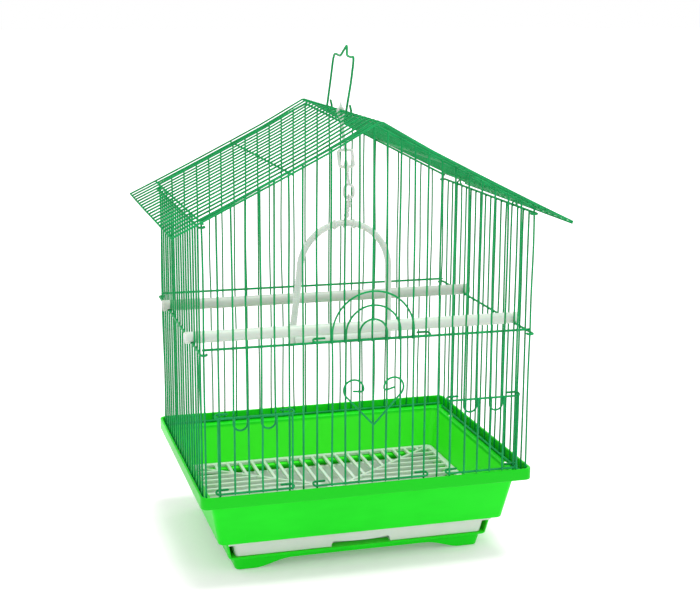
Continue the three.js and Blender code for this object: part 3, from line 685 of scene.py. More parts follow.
class CAGE_OT_grille(bpy.types.Operator):
    """Make the lift-out floor grille: frame, diagonals and ribs in four quarters."""

    bl_idname = "cage.grille"
    bl_label = "Floor grille"

    def execute(self, context):
        low, high = box_mm("floor_grille")
        inner_x, inner_y = high.x - GRILLE_FRAME, high.y - GRILLE_FRAME
        middle = (low.z + high.z) / 2
        rim = loft("grille_frame", [
            (inner_x, inner_y, low.z), (high.x, high.y, low.z), (high.x, high.y, high.z),
            (inner_x, inner_y, high.z),
        ], 6.0)
        self.bridge_caps(rim)
        modifier(rim, "BEVEL", width=0.5 * MM, segments=2, limit_method="ANGLE",
                 angle_limit=math.radians(40))
        pieces = [rim]
        x, y = high.x - GRILLE_FRAME / 2, high.y - GRILLE_FRAME / 2
        half = GRILLE_RIB / 2
        span = math.hypot(x, y)
        for side in (-1, 1):
            diagonal = bar("diagonal", (-span, -half, low.z + 0.05), (span, half, high.z - 0.05), 0.5)
            only(diagonal)
            diagonal.rotation_euler.z = side * math.atan2(y, x)
            bpy.ops.object.transform_apply(location=True, rotation=True, scale=True)
            pieces.append(diagonal)
        rib_low, rib_high = low.z + 0.3, high.z - 0.3
        for lengthwise, (far, reach) in ((True, (x, y)), (False, (y, x))):
            run = 0
            while run < far - GRILLE_FRAME:
                for side in ((-1, 1) if run else (1,)):
                    for end in (-1, 1):
                        ends = sorted((end * run * reach / far, end * reach))
                        corners = [(side * run - half, ends[0]), (side * run + half, ends[1])]
                        if not lengthwise:
                            corners = [(v, u) for u, v in corners]
                        pieces.append(bar("rib", (*corners[0], rib_low), (*corners[1], rib_high)))
                run += GRILLE_PITCH
        hub = start(bpy.ops.mesh.primitive_cylinder_add, "hub", vertices=32, radius=9 * MM,
                    depth=(high.z - low.z - 0.2) * MM, location=(0, 0, middle * MM))
        edit()
        bpy.ops.mesh.bevel(offset=0.5 * MM, segments=2)
        done_editing()
        pieces.append(hub)
        finish_piece(merge(pieces, "floor_grate"), WHITE_SLOT, "cage", ["floor_grille"])
        return {"FINISHED"}

    def bridge_caps(self, obj):
        """Opens the two flat caps of the frame and joins their rims with an inner wall."""
        pick(obj, "FACE", lambda face: len(face.vertices) > 8)
        bpy.ops.mesh.delete(type="ONLY_FACE")
        bpy.ops.mesh.select_mode(type="EDGE")
        bpy.ops.mesh.select_all(action="DESELECT")
        bpy.ops.mesh.select_non_manifold(extend=False)
        bpy.ops.mesh.bridge_edge_loops()
        bpy.ops.mesh.select_mode(type="VERT")
        bpy.ops.mesh.select_all(action="SELECT")
        bpy.ops.mesh.normals_make_consistent(inside=False)
        done_editing()


TRAY_RAISE = 3  # the front edge stands this much above the frame's box
TRAY_LIP, TRAY_WALL, TRAY_LIP_REACH = 2.5, 2.0, 3
NOTCH_HALF, NOTCH_HEIGHT, NOTCH_SAG = 31, 7, 2.4


class CAGE_OT_tray(bpy.types.Operator):
    """Make the slide-out tray with its turned-out lip and finger notch."""

    bl_idname = "cage.tray"
    bl_label = "Slide-out tray"

    def execute(self, context):
        low, high = box_mm("slide_tray")
        high.z += TRAY_RAISE
        centre = (low.y + high.y) / 2
        lip_x, lip_y = high.x, (high.y - low.y) / 2
        lean = WALL_SLOPE * (high.z - low.z)
        under_lip = high.z - TRAY_LIP
        top_x, top_y = lip_x - TRAY_LIP_REACH, lip_y - TRAY_LIP_REACH
        foot_x, foot_y = top_x - lean, top_y - lean
        tray = loft("tray_moulding", [
            (foot_x - TRAY_WALL + 0.4, foot_y - TRAY_WALL + 0.4, low.z + TRAY_WALL),
            (top_x - TRAY_WALL, top_y - TRAY_WALL, high.z),
            (lip_x, lip_y, high.z),
            (lip_x, lip_y, under_lip),
            (top_x - WALL_SLOPE * TRAY_LIP, top_y - WALL_SLOPE * TRAY_LIP, under_lip),
            (foot_x, foot_y, low.z),
        ], 4.5, centre=(0, centre))
        modifier(tray, "BEVEL", width=0.6 * MM, segments=3, limit_method="ANGLE",
                 angle_limit=math.radians(35))
        front = centre - foot_y
        notch_top = low.z + NOTCH_HEIGHT
        shell = self.notch_block("notch_shelter", NOTCH_HALF + TRAY_WALL, low.z - 1, notch_top + TRAY_WALL,
                                 front - 0.5, front + 12)
        outer = loft("tray_hull", [
            (foot_x - 0.02, foot_y - 0.02, low.z + 0.01), (top_x - 0.5, top_y - 0.5, under_lip),
        ], 4.5, centre=(0, centre))
        cut(shell, outer, "INTERSECT")
        cut(tray, shell, "UNION")
        cut(tray, self.notch_block("notch_cutter", NOTCH_HALF, low.z - 1, notch_top, front - 12, front + 10))
        pull_lip = bar("pull_lip", (-lip_x - 1.7, low.y - 1.6, under_lip),
                       (lip_x + 1.7, low.y + 1.2, high.z), 0.6)
        cut(tray, pull_lip, "UNION")
        finish_piece(tray, WHITE_SLOT, "tray", ["slide_tray"], angle=32)
        return {"FINISHED"}

    def notch_block(self, name, half, low, high, front, back):
        """A block whose top edge hangs in the middle and whose top corners are rounded."""
        obj = start(bpy.ops.mesh.primitive_grid_add, name, x_subdivisions=32, y_subdivisions=1, size=2)
        edit()
        bpy.ops.transform.resize(value=(half * MM, 1, 1))
        bpy.ops.mesh.extrude_region_move(TRANSFORM_OT_translate={"value": (0, 0, MM)})
        done_editing()
        for vertex in obj.data.vertices:
            along = abs(vertex.co.x) / MM / half
            corner = min(max((along - 0.86) / 0.14, 0), 1)
            top = high - NOTCH_SAG * (1 - along ** 2) - (1 - math.sqrt(max(1 - corner ** 2, 0))) * 4
            vertex.co.y = (front if vertex.co.y < 0 else back) * MM
            vertex.co.z = (top if vertex.co.z > 0.5 * MM else low) * MM
        only(obj)
        edit()
        bpy.ops.mesh.normals_make_consistent(inside=False)
        done_editing()
        return obj


FULL_UPRIGHTS = (0, 7, 17, 24)
DOOR_GUIDES = (1, 6, 8, 16, 18, 23)
SHORT_UPRIGHTS = range(9, 16)
LOOPED_PAIRS = (2, 4, 19, 21)
LOOP_LOW = 158
GABLE_DROP = 4.95  # the gable rail's apex below the roof's
GUIDE_STRAY, FRONT_STRAY, BACK_STRAY = 0.12, 0.8, 1.3  # shares of the bow
BACK_THINNING = 0.9


def end_wall_rails(wires, plan, y, inside_y):
    """The three rails of the front or back wall, inside its uprights."""
    reach = plan.half_width + plan.rail / 2
    for height in (plan.bottom_rail, plan.mid_rail):
        wires.bend([(-reach, inside_y, height), (0, inside_y, height), (reach, inside_y, height)], plan.rail)
    gable_apex = plan.apex - GABLE_DROP
    wires.bend(plan.gable(gable_apex, reach, inside_y), plan.rail)
    return gable_apex


def wire_top(plan, gable, x):
    """An upright ends just past the gable rail; the middle one stops under the rounded crest."""
    return plan.slope_z(gable, x) + 0.4 - (0.9 if x == 0 else 0)


def upright(wires, plan, x, y, top, low_bow, high_bow, thickness, chance):
    """A wire from its foot to its top, straight where the middle rail holds it."""
    wires.bend([*bowed((x, y, plan.wire_foot), (x, y, plan.mid_rail), ACROSS, low_bow, chance),
                *bowed((x, y, plan.mid_rail), (x, y, top), ACROSS, high_bow, chance)[1:]], thickness)


def weld_beads(wires, plan, gable, x, y, inside_y, heights):
    """Beads where an upright is welded to rails at these heights and to the gable rail."""
    for height in (*heights, plan.slope_z(gable, x) - (0.8 if x == 0 else 0)):
        wires.bead((x, (y + inside_y) / 2, height), UPRIGHT, plan.wire * 1.15)


class CAGE_OT_front_wall(bpy.types.Operator):
    """Weld the front wall with its door guides and looped wires."""

    bl_idname = "cage.front_wall"
    bl_label = "Front wall"

    def execute(self, context):
        plan = layout()
        chance = random.Random(11)
        y = -plan.half_depth
        inside = y + plan.rail_inset
        wires = Wires("front_wall")
        gable = end_wall_rails(wires, plan, y, inside)

        def bent(low, high):
            return bowed(low, high, ACROSS, plan.bow, chance)

        for index in (*FULL_UPRIGHTS, *DOOR_GUIDES):
            x = plan.front_x(index)
            stray = GUIDE_STRAY if index in DOOR_GUIDES else FRONT_STRAY
            upright(wires, plan, x, y, wire_top(plan, gable, x), plan.bow * stray, plan.bow,
                    plan.wire, chance)
            weld_beads(wires, plan, gable, x, y, inside, (plan.bottom_rail, plan.mid_rail))
        for index in SHORT_UPRIGHTS:
            x = plan.front_x(index)
            foot = plan.mid_rail - plan.rail / 2
            wires.bend(bent((x, y, foot), (x, y, wire_top(plan, gable, x))), plan.wire)
            weld_beads(wires, plan, gable, x, y, inside, (plan.mid_rail,))
        for index in LOOPED_PAIRS:
            left, right = plan.front_x(index), plan.front_x(index + 1)
            radius = plan.pitch / 2
            bend = arc(radius, 180, 360, 12, lambda u, v: (left + radius + u, y, LOOP_LOW + radius + v))
            leg = bent((left, y, wire_top(plan, gable, left)), bend[0])
            other = bent(bend[-1], (right, y, wire_top(plan, gable, right)))
            wires.bend([*leg, *bend[1:-1], *other], plan.wire)
            for x in (left, right):
                weld_beads(wires, plan, gable, x, y, inside, (plan.mid_rail,))
        wires.finish(WIRE_SLOT, "cage", "front_panel")
        return {"FINISHED"}


class CAGE_OT_back_wall(bpy.types.Operator):
    """Weld the back wall."""

    bl_idname = "cage.back_wall"
    bl_label = "Back wall"

    def execute(self, context):
        plan = layout()
        chance = random.Random(23)
        y = plan.half_depth
        inside = y - plan.rail_inset
        wires = Wires("back_wall")
        gable = end_wall_rails(wires, plan, y, inside)
        for index in range(2 * FRONT_MIDDLE + 1):
            x = plan.front_x(index)
            bow = plan.bow * BACK_STRAY
            upright(wires, plan, x, y, wire_top(plan, gable, x), bow, bow, plan.wire * BACK_THINNING, chance)
            weld_beads(wires, plan, gable, x, y, inside, (plan.bottom_rail, plan.mid_rail))
        wires.finish(WIRE_SLOT, "cage", "back_panel")
        return {"FINISHED"}


# side uprights that hook over the roof's rod, and which way each leans
CLIP_WIRES = {3: 1, 4: -1, 14: 1, 15: -1}


class CAGE_OT_side_walls(bpy.types.Operator):
    """Weld the two side walls, whose rails hook round the corner uprights."""

    bl_idname = "cage.side_walls"
    bl_label = "Side walls"

    def execute(self, context):
        for side, node in ((-1, "left_panel"), (1, "right_panel")):
            self.wall(side, node)
        return {"FINISHED"}

    def wall(self, side, node):
        plan = layout()
        chance = random.Random(31 + side)
        step = (plan.wire + plan.rail) / 2 - WELD_SINK
        rail_x = box_mm("right_panel")[1].x - plan.rail / 2 - 0.15
        wire_x = rail_x - step
        hook = rail_x - plan.half_width
        wires = Wires(node.replace("panel", "wall"))
        for height in (plan.side_rail, plan.side_top):
            def place(x, y):
                return (side * x, y, height)
            front = arc(hook, 150, 360, 10, lambda u, v: place(plan.half_width + u, -plan.half_depth + v))
            back = arc(hook, 0, 210, 10, lambda u, v: place(plan.half_width + u, plan.half_depth + v))
            middle = [place(rail_x + chance.uniform(-0.1, 0.1), y) for y in (-60, 0, 60)]
            wires.bend([*front, *middle, *back], plan.rail)
        reach = plan.side_y(17) + plan.wire
        bottom_x = side * (wire_x - step)
        wires.bend([(bottom_x, -reach, plan.bottom_rail), (bottom_x, 0, plan.bottom_rail),
                    (bottom_x, reach, plan.bottom_rail)], plan.rail)
        for index in range(1, 18):
            x, y = side * wire_x, plan.side_y(index)
            path = bowed((x, y, plan.wire_foot), (x, y, plan.side_rail), ALONG, plan.bow, chance, 5)
            path += bowed((x, y, plan.side_rail), (x, y, plan.side_top + plan.rail * 0.4), ALONG,
                          plan.bow, chance, 5)[1:]
            if index in CLIP_WIRES:
                lean = CLIP_WIRES[index] * (plan.side_pitch / 2 - plan.wire / 2)
                path += [(x - side * 0.5, y + lean * 0.5, plan.side_top + 3.4),
                         (x + side * 0.4, y + lean * 0.9, plan.side_top + 5.4),
                         (x + side * 1.2, y + lean, plan.side_top + 6.2)]
            wires.bend(path, plan.wire)
            for height in (plan.side_rail, plan.side_top):
                wires.bead((side * (wire_x + rail_x) / 2, y, height), UPRIGHT, plan.wire * 1.15)
        wires.finish(WIRE_SLOT, "cage", node)


SLOPE_SAG = 2.4  # how far the roof wires settle towards the gable wires
SAG_RUN = 45  # distance from the crest over which they do


class CAGE_OT_roof(bpy.types.Operator):
    """Fold the roof: wires over the ridge, on lengthwise rods."""

    bl_idname = "cage.roof"
    bl_label = "Roof"

    def execute(self, context):
        plan = layout()
        chance = random.Random(47)
        wires = Wires("roof_mat")
        sunk = plan.wire - WELD_SINK
        side_x = box_mm("right_panel")[1].x - plan.rail / 2
        crest_end = CREST_RADIUS * math.sin(plan.slope)

        def sag(x):
            run = min(max((abs(x) - crest_end) / SAG_RUN, 0), 1)
            return SLOPE_SAG * run * (1 - (abs(x) / plan.eave) ** 3)

        places = (side_x / 2, side_x, plan.eave - plan.wire / 2)
        rods = [(1, 0)] + [(side, x) for x in places for side in (-1, 1)]
        for side, x in rods:
            tilt = plan.slope if x else 0
            height = plan.slope_z(plan.apex, x) - sag(x) if x else plan.crest
            place_x = side * (x - sunk * math.sin(tilt))
            place_z = height - sunk * math.cos(tilt)
            ends = (plan.roof_front - plan.wire, plan.roof_back + plan.wire)
            stray = 0 if x == 0 else plan.bow * 0.5
            wires.bend(bowed((place_x, ends[0], place_z), (place_x, ends[1], place_z),
                             (math.cos(tilt), 0, -side * math.sin(tilt)), stray, chance), plan.wire)
            for index in range(ROOF_WIRES):
                wires.bead((place_x + side * sunk / 2 * math.sin(tilt), plan.roof_y(index),
                            place_z + sunk / 2 * math.cos(tilt)), ALONG, plan.wire * 1.1)
        for index in range(ROOF_WIRES):
            y = plan.roof_y(index)
            path = plan.gable(plan.apex, plan.eave, y)
            left, right = (bowed(*ends, ALONG, plan.bow * 0.5, chance, 12) for ends in (path[:2], path[-2:]))
            bent = [*left, *(Vector(p) for p in path[2:-2]), *right]
            wires.bend([(p.x, p.y, p.z - sag(p.x)) for p in bent], plan.wire)
        wires.finish(WIRE_SLOT, "cage", "roof_panel")
        return {"FINISHED"}


HOOK = 2.72  # radius of a door rail's hook round its guide wire
HOOK_TAIL = 10
HOOK_RISE = 2.4  # how far a hook climbs from the rail to its tail


def door_rail(wires, plan, centre, half_span, height):
    """A door rail with a hook round a guide wire at each end."""
    guide_y = -plan.half_depth
    end = half_span + 1.2
    tail_place = (guide_y + HOOK, height + HOOK_RISE)

    def bend(side, first, last):
        return arc(HOOK, first, last, 8, lambda u, v: (
            centre + side * (end + u), guide_y + v, height + HOOK_RISE * (0.5 + v / HOOK / 2)))

    path = [(centre - end + HOOK_TAIL, *tail_place), *bend(-1, 90, -90), *bend(1, -90, 90),
            (centre + end - HOOK_TAIL, *tail_place)]
    wires.bend(path, plan.door_rail)
    return guide_y - HOOK


def door_beads(wires, plan, x, rail_y, bar_y, heights):
    for height in heights:
        wires.bead((x, (rail_y + bar_y) / 2, height), UPRIGHT, plan.wire * 1.1)


class CAGE_OT_main_door(bpy.types.Operator):
    """Bend the main door: bars, concentric arches and hooked rails."""

    bl_idname = "cage.main_door"
    bl_label = "Main door"

    def execute(self, context):
        plan = layout()
        low, high = box_mm("main_door")
        wires = Wires("lift_door")
        low_rail = low.z + plan.door_rail / 2 + 0.1
        arch_radius = 3 * plan.pitch
        arch_centre = high.z - plan.wire / 2 - arch_radius
        top_rail = arch_centre - 6.3
        half_span = 4 * plan.pitch
        rail_y = door_rail(wires, plan, 0, half_span, low_rail)
        door_rail(wires, plan, 0, half_span, top_rail)
        bar_y = rail_y - (plan.wire + plan.door_rail) / 2 + WELD_SINK
        chance = random.Random(5)
        foot = low_rail - plan.door_rail / 2

        def bent(low, high):
            return bowed(low, high, ACROSS, plan.bow * 0.6, chance)

        wires.bend(bent((0, bar_y, foot), (0, bar_y, top_rail + plan.door_rail / 2)), plan.wire)
        for ring in (1, 2, 3):
            radius = ring * plan.pitch
            over = arc(radius, 180, 0, 12 + 6 * ring, lambda u, v: (u, bar_y, arch_centre + v))
            left = bent((-radius, bar_y, foot), over[0])
            right = bent(over[-1], (radius, bar_y, foot))
            wires.bend([*left, *over[1:-1], *right], plan.wire)
            for side in (-1, 1):
                door_beads(wires, plan, side * radius, rail_y, bar_y, (low_rail, top_rail))
        wires.finish(WIRE_SLOT, "main_door", "main_door")
        return {"FINISHED"}


class CAGE_OT_feeder_doors(bpy.types.Operator):
    """Bend the two feeder doors."""

    bl_idname = "cage.feeder_doors"
    bl_label = "Feeder doors"

    def execute(self, context):
        plan = layout()
        for node, guide in (("left_feeder_door", 1), ("right_feeder_door", 18)):
            low, high = box_mm(node)
            chance = random.Random(guide)
            wires = Wires(node.replace("feeder_door", "feeder_hatch"))
            left, right = plan.front_x(guide), plan.front_x(guide + 5)
            centre, half_span = (left + right) / 2, (right - left) / 2
            low_rail = low.z + plan.door_rail / 2 + 0.1
            top_rail = high.z - plan.door_rail / 2 - 0.1
            rail_y = door_rail(wires, plan, centre, half_span, low_rail)
            door_rail(wires, plan, centre, half_span, top_rail)
            bar_y = rail_y - (plan.wire + plan.door_rail) / 2 + WELD_SINK
            end = half_span + 1.7
            places = [centre - end, centre + end] + [plan.front_x(k) for k in range(guide + 1, guide + 5)]
            for x in places:
                ends = (x, bar_y, low_rail - plan.door_rail / 2), (x, bar_y, top_rail + plan.door_rail / 2)
                wires.bend(bowed(*ends, ACROSS, plan.bow * 0.5, chance), plan.wire)
                door_beads(wires, plan, x, rail_y, bar_y, (low_rail, top_rail))
            wires.finish(WIRE_SLOT, node, node)
        return {"FINISHED"}


class CAGE_OT_heart(bpy.types.Operator):
    """Bend the heart on the front of the main door."""

    bl_idname = "cage.heart"
    bl_label = "Heart"

    def execute(self, context):
        plan = layout()
        low, high = box_mm("heart_ornament")
        y = (low.y + high.y) / 2
        lobe = 9.9
        lobe_x = high.x - plan.wire / 2 - lobe
        lobe_z = high.z - plan.wire / 2 - lobe
        tip = low.z + plan.wire / 2

        def half(side):
            tail = [(side * (lobe_x + u), y, lobe_z + v) for u, v in (
                (1, side * 0.8 - 0.6), (-3, side * 0.3 - 1.4), (-7.6, -2.2), (-9.6, -1.4))]
            over = arc(lobe, 176, -38, 22, lambda u, v: (side * (lobe_x + u), y, lobe_z + v))
            return [*rounded([*tail, over[0]], 1.6)[:-1], *over]

        point = [(-0.5, y, tip + 0.3), (0, y, tip), (0.5, y, tip + 0.3)]
        wires = Wires("door_heart")
        wires.bend([*half(-1), *point, *reversed(half(1))], plan.wire)
        wires.finish(WIRE_SLOT, "main_door", "heart_ornament")
        return {"FINISHED"}


class CAGE_OT_handle(bpy.types.Operator):
    """Bend the carrying handle, whose feet loop round the ridge rod."""

    bl_idname = "cage.handle"
    bl_label = "Carrying handle"

    def execute(self, context):
        plan = layout()
        low, high = box_mm("carry_handle")
        hinge = plan.hinge
        half = (high.y - low.y) / 2 - plan.rail / 2
        loop = 2.78
        lean = math.radians(8)
        top = 55.5
        peak = 66.4
        splay = 1.6

        def foot(side):
            return [(loop - 2.9, side * half, 9.4), (loop - 0.8, side * half, 4),
                    *arc(loop, 0, -180, 12, lambda u, v: (u, side * half, v)), (-loop, side * half, 6)]

        wide = half + splay
        crown = rounded([
            (-loop, -half, 6), (-loop + 0.3, -half - splay * 0.8, top * 0.55), (-loop, -wide + 0.4, top - 5),
            (-loop, -wide + 2.8, top + 0.6), (-loop, -wide + 9, top - 0.4), (-loop, -20, top - 0.2),
            (-loop, -11.4, top + 0.6), (-loop, -6.6, peak), (-loop, 12, top - 0.8), (-loop, 20, top - 0.4),
            (-loop, wide - 9, top + 0.6), (-loop, wide - 2.8, top + 0.2), (-loop, wide - 0.4, top - 5),
            (-loop + 0.3, half + splay * 0.8, top * 0.55), (-loop, half, 6)], 3.2, 6)
        path = [*foot(-1)[:-1], *crown, *reversed(foot(1)[:-1])]
        turn = Matrix.Rotation(lean, 4, "Y")
        wires = Wires("bail_handle", 4)
        wires.bend([hinge + turn @ Vector(p) for p in path], plan.rail)
        wires.finish(WIRE_SLOT, "handle", "carry_handle")
        return {"FINISHED"}


class CAGE_OT_perches(bpy.types.Operator):
    """Turn the two perches and cut the slots that drop over the side rails."""

    bl_idname = "cage.perches"
    bl_label = "Perches"

    def execute(self, context):
        plan = layout()
        rail_x = box_mm("right_panel")[1].x - plan.rail / 2
        for node in ("front_perch", "rear_perch"):
            low, high = box_mm(node)
            middle = (low + high) / 2
            radius = (high.z - low.z) / 2
            rod = start(bpy.ops.mesh.primitive_cylinder_add, node.replace("perch", "perch_rod"), vertices=40,
                        radius=radius * MM, depth=(high.x - low.x) * MM, location=middle * MM,
                        rotation=(0, math.radians(90), 0))
            only(rod)
            bpy.ops.object.transform_apply(location=True, rotation=True, scale=True)
            pick(rod, "FACE", lambda face: len(face.vertices) > 8)
            bpy.ops.mesh.inset(thickness=1.6 * MM, use_individual=True)
            done_picking()
            for vertex in rod.data.vertices:
                off = Vector((vertex.co.y, vertex.co.z)) / MM - Vector((middle.y, middle.z))
                if off.length < radius - 1:
                    vertex.co.x -= math.copysign(1.2 * MM, vertex.co.x)
            modifier(rod, "BEVEL", width=0.5 * MM, segments=3, limit_method="ANGLE",
                     angle_limit=math.radians(40))
            for side in (-1, 1):
                reach = plan.rail / 2 + 0.45
                cut(rod, bar("slot_cutter", (side * rail_x - reach, low.y - 2, low.z - 2),
                             (side * rail_x + reach, high.y + 2, plan.side_rail + reach), edge=0))
            finish_piece(rod, WHITE_SLOT, "cage", [node], angle=32)
        return {"FINISHED"}


LEFT_SPLAY, RIGHT_SPLAY = 9.4, 0.4  # how far the arch's legs lean out
ARCH_SHIFT, ARCH_HALF = 4.5, 47.4  # the arch's crown lies a little to the right of the hook
ARCH_CROWN, ARCH_HEIGHT = 3.8, 48  # the rod's middle under its top, and the rise of the curved part
# heights down the hanging chain, and how far to the right it lies at each
CHAIN = ((445.7, 0.0), (390.5, 6.6), (372.0, 9.0), (357.0, 9.0), (333.0, 5.2))


def chain_x(height):
    """How far to the right the hanging chain lies at a height."""
    if height >= CHAIN[0][0]:
        return 0.0
    for (high, first), (low, last) in zip(CHAIN, CHAIN[1:]):
        if height >= low:
            return first + (last - first) * (high - height) / (high - low)
    return ARCH_SHIFT


class ChainWires(Wires):
    """Wires that follow the crooked chain."""

    def bend(self, points, diameter, closed=False, radii=None):
        moved = [(p[0] + chain_x(p[2]), p[1], p[2]) for p in points]
        super().bend(moved, diameter, closed, radii)


class CAGE_OT_swing(bpy.types.Operator):
    """Mould the swing: hanger, link, twisted stem, arch and bar."""

    bl_idname = "cage.swing"
    bl_label = "Swing"

    def execute(self, context):
        self.hanger()
        self.link()
        self.stem()
        self.arch()
        self.bar()
        return {"FINISHED"}

    def hanger(self):
        low, high = box_mm("swing_hanger")
        hinge = joint_place("hanger_sway")
        y, thick = hinge.y, 3.3
        ring_high = low.z + 20.8
        half = high.x - thick / 2
        bar_z = low.z + thick / 2
        wires = ChainWires("hanger_moulding", 4)
        ring = rounded([(0, y, bar_z), (-half, y, bar_z), (-half, y, ring_high - thick / 2 - 0.8),
                        (half, y, ring_high - thick / 2), (half, y, bar_z), (0.01, y, bar_z)], 3.2)
        wires.bend(ring[:-1], thick, closed=True)
        wires.bend([(0.6, y, ring_high - thick / 2), (0.2, y, ring_high + 4), (0, y, hinge.z - 9)], 3.2)
        eye = 2.9
        loop = [(0, y, hinge.z - 8), (-1.2, y, hinge.z - 5.5),
                *arc(eye, 215, -35, 14, lambda u, v: (u, y, hinge.z + 0.6 + v * 1.25)),
                (1.2, y, hinge.z - 5.5), (0.1, y, hinge.z - 8)]
        wires.bend(loop, 3.0)
        tip = [(0, y, hinge.z + 2.6), (0, y, hinge.z + 5.0), (0, y, high.z + 2.4)]
        wires.bend(tip, 2.4, radii=[2.1, 1.8, 0.9])
        wires.finish(WHITE_SLOT, "swing_hanger", "swing_hanger")

    def link(self):
        low, high = box_mm("swing_link")
        pivot = joint_place("swing_rock")
        y, thick = pivot.y, 2.9
        loop = (high.y - low.y) / 2 - thick / 2
        wires = ChainWires("link_moulding", 4)
        ring = arc(loop, 0, 360, 20, lambda u, v: (0, y + u, pivot.z + v))[:-1]
        wires.bend(ring, thick, closed=True)
        hook_high = low.z + 17
        wires.bend([(0, y, pivot.z - loop), (0, y, hook_high + 4), (0, y, hook_high - 2)], 3.1)
        half = high.x - thick / 2
        hook = rounded([(0, y, hook_high - thick / 2), (-half, y, hook_high - thick / 2 - 3),
                        (-half, y, low.z + thick / 2 + 2), (-half * 0.5, y, low.z + thick / 2),
                        (half * 0.5, y, low.z + thick / 2), (half, y, low.z + thick / 2 + 2),
                        (half, y, hook_high - thick / 2 - 3), (0.1, y, hook_high - thick / 2)], 2.5)
        wires.bend(hook, thick)
        wires.finish(WHITE_SLOT, "swing", "swing_link")

    def stem(self):
        y = joint_place("swing_rock").y
        arch_z = box_mm("swing_arch")[1].z - ARCH_CROWN
        hook_z = box_mm("swing_link")[0].z + 1.5
        wires = ChainWires("stem_moulding", 4)
        wires.bend(arc(2.9, 0, 360, 18, lambda u, v: (0, y + u, hook_z + v))[:-1], 1.9, closed=True)
        wires.bend(arc(5.2, 0, 360, 24, lambda u, v: (0, y + u, arch_z + v))[:-1], 1.9, closed=True)
        top, bottom = hook_z - 2.7, arch_z + 5.0
        steps, beads = 30, 3
        path, radii = [], []
        for k in range(steps + 1):
            t = k / steps
            swell = 0.5 - 0.5 * math.cos(2 * math.pi * beads * t)
            path.append((0.3 * math.sin(9 * t), y, top + (bottom - top) * t))
            radii.append(1.7 + 1.3 * swell)
        wires.bend(path, 3, radii=radii)
        for twist in (0, math.pi):
            coil = []
            for k in range(25):
                t = k / 24
                angle = twist + 2 * math.pi * 1.5 * t
                coil.append((2.3 * math.cos(angle), y + 2.3 * math.sin(angle),
                             top + (bottom - top) * (0.1 + 0.8 * t)))
            wires.bend(coil, 1.2)
        wires.finish(WHITE_SLOT, "swing", "swing_stem")

    def arch_path(self):
        low, high = box_mm("swing_arch")
        y = joint_place("swing_rock").y
        spring = high.z - ARCH_CROWN - ARCH_HEIGHT

        def leg(side, splay):
            return [(ARCH_SHIFT + side * (ARCH_HALF + splay * (k / 8)), y, spring + (low.z - spring) * k / 8)
                    for k in range(1, 9)]

        over = arc(1, 180, 0, 36, lambda u, v: (ARCH_SHIFT + ARCH_HALF * u, y, spring + ARCH_HEIGHT * v))
        curve = [*reversed(leg(-1, LEFT_SPLAY)), *over, *leg(1, RIGHT_SPLAY)]
        return [Vector(p) for p in curve]

    def arch(self):
        path = self.arch_path()
        wires = Wires("arch_moulding", 6)
        wires.bend(path, 6.7)
        lengths = [0.0]
        for before, after in zip(path, path[1:]):
            lengths.append(lengths[-1] + (after - before).length)
        total = lengths[-1]

        def at(distance):
            distance = min(max(distance, 0.0), total)
            k = next(i for i in range(1, len(lengths)) if lengths[i] >= distance - 1e-9)
            t = (distance - lengths[k - 1]) / (lengths[k] - lengths[k - 1])
            return path[k - 1].lerp(path[k], t), (path[k] - path[k - 1]).normalized()

        pitch, ridge = 2.5, 3.3
        for first, last in ((9.0, total * 0.405), (total * 0.595, total - 9.0)):
            turns = (last - first) / pitch
            steps = int(turns * 12)
            coil = []
            for k in range(steps + 1):
                distance = first + (last - first) * k / steps
                centre, ahead = at(distance)
                across = Vector((0, 1, 0))
                out = ahead.cross(across).normalized()
                angle = 2 * math.pi * turns * k / steps
                coil.append(centre + (across * math.cos(angle) + out * math.sin(angle)) * ridge)
            wires.bend(coil, 0.9)
        for offset in (-9.5, 9.5):
            centre, ahead = at(total / 2 + offset)
            collar = [centre + ahead * along for along in (-1.6, -0.9, 0.9, 1.6)]
            wires.bend(collar, 9, radii=[3.7, 4.7, 4.7, 3.7])
            wires.bend([centre, centre + ahead * math.copysign(1.5, offset) + Vector((0, 0, -5.2))], 3.2)
        wires.finish(WHITE_SLOT, "swing", "swing_arch")

    def bar(self):
        low, high = box_mm("swing_bar")
        middle = (low + high) / 2
        left, right = ARCH_SHIFT - ARCH_HALF - LEFT_SPLAY, ARCH_SHIFT + ARCH_HALF + RIGHT_SPLAY
        stops = [(left, 2.4), (left + 3.6, 2.4), (left + 3.6, 4.1), (left + 5.1, 4.45), (0, 4.45),
                 (right - 5.1, 4.45), (right - 3.6, 4.1), (right - 3.6, 2.4), (right, 2.4)]
        rod = start(bpy.ops.mesh.primitive_circle_add, "bar_moulding", vertices=32, radius=2.4 * MM,
                    fill_type="NGON", location=(left * MM, middle.y * MM, middle.z * MM),
                    rotation=(0, math.radians(90), 0))
        edit()
        bpy.ops.mesh.select_all(action="SELECT")
        place, radius = stops[0]
        for x, wide in stops[1:]:
            bpy.ops.mesh.extrude_region_move(TRANSFORM_OT_translate={"value": ((x - place) * MM, 0, 0)})
            bpy.ops.transform.resize(value=(1, wide / radius, wide / radius),
                                     center_override=(x * MM, middle.y * MM, middle.z * MM))
            place, radius = x, wide
        done_editing()
        finish_piece(rod, WHITE_SLOT, "swing", ["swing_bar"], angle=35)


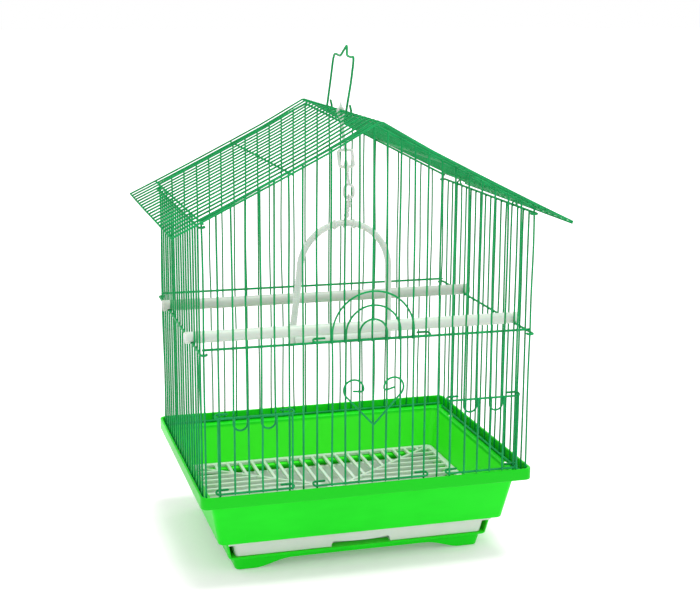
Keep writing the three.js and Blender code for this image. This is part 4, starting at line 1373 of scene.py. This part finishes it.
class CAGE_OT_stage(bpy.types.Operator):
    """Set the floor, the soft light and the camera."""

    bl_idname = "cage.stage"
    bl_label = "Stage"

    def execute(self, context):
        scene = context.scene
        floor = start(bpy.ops.mesh.primitive_plane_add, "floor", size=40, location=(0, 0, -0.0005))
        paper = Finish("floor_paper")
        grain = paper.noise(3, 3)
        paper.feed(paper.shader.inputs["Base Color"],
                   paper.blend(grain, (0.93, 0.81, 0.915, 1), (0.95, 0.83, 0.935, 1)))
        paper.constants(specular=0.0, roughness=0.95, emission_strength=0.18)
        floor.data.materials.append(paper.material)
        world = bpy.data.worlds.new("studio")
        world.use_nodes = True
        background = world.node_tree.nodes["Background"]
        background.inputs["Color"].default_value = (1, 1, 1, 1)
        background.inputs["Strength"].default_value = 1.0
        scene.world = world
        key = bpy.data.lights.new("key", "SUN")
        key.energy = 1.9
        key.angle = math.radians(23)
        lamp = bpy.data.objects.new("key", key)
        lamp.rotation_euler = Vector((-0.17, 0.0, -1.0)).to_track_quat("-Z", "Y").to_euler()
        scene.collection.objects.link(lamp)
        self.camera(scene)
        scene.view_settings.view_transform = "Standard"
        return {"FINISHED"}

    def camera(self, scene):
        """The camera stands to the left of the front and a little above, looking slightly down."""
        yaw, pitch, roll = math.radians(15.95), math.radians(12.76), math.radians(0.29)
        ahead = Vector((math.sin(yaw) * math.cos(pitch), math.cos(yaw) * math.cos(pitch), -math.sin(pitch)))
        right = Vector((math.cos(yaw), -math.sin(yaw), 0))
        up = right.cross(ahead)
        level = right * math.cos(roll) + up * math.sin(roll)
        up = level.cross(ahead)
        data = bpy.data.cameras.new("camera")
        data.lens = 71.29
        data.sensor_width = 36
        data.clip_start, data.clip_end = 0.05, 100
        camera = bpy.data.objects.new("camera", data)
        turn = Matrix((level, up, -ahead)).transposed()
        camera.matrix_world = Matrix.Translation((-0.37465, -1.36393, 0.56203)) @ turn.to_4x4()
        scene.collection.objects.link(camera)
        scene.camera = camera


class CAGE_PT_panel(bpy.types.Panel):
    """Sizes, colours and the steps of the cage."""

    bl_idname = "CAGE_PT_panel"
    bl_label = "Bird Cage"
    bl_space_type = "VIEW_3D"
    bl_region_type = "UI"
    bl_category = "Bird Cage"

    def draw(self, context):
        column = self.layout.column()
        for group in (context.scene.cage_sizes, context.scene.cage_colours):
            for key in group.bl_rna.properties.keys():
                if key not in ("rna_type", "name"):
                    column.prop(group, key)
        for operator in OPERATORS:
            column.operator(operator.bl_idname)


OPERATORS = (
    CAGE_OT_stage, CAGE_OT_base, CAGE_OT_grille, CAGE_OT_tray, CAGE_OT_front_wall, CAGE_OT_back_wall,
    CAGE_OT_side_walls, CAGE_OT_roof, CAGE_OT_main_door, CAGE_OT_feeder_doors, CAGE_OT_heart, CAGE_OT_handle,
    CAGE_OT_perches, CAGE_OT_swing,
)
CLASSES = (CageSizes, CageColours, *OPERATORS, CAGE_PT_panel)


def register():
    for cls in CLASSES:
        bpy.utils.register_class(cls)
    bpy.types.Scene.cage_sizes = PointerProperty(type=CageSizes)
    bpy.types.Scene.cage_colours = PointerProperty(type=CageColours)


def unregister():
    del bpy.types.Scene.cage_sizes
    del bpy.types.Scene.cage_colours
    for cls in reversed(CLASSES):
        bpy.utils.unregister_class(cls)


def main():
    register()
    for operator in OPERATORS:
        getattr(bpy.ops.cage, operator.bl_idname.split(".")[1])()


if __name__ == "__main__":
    main()
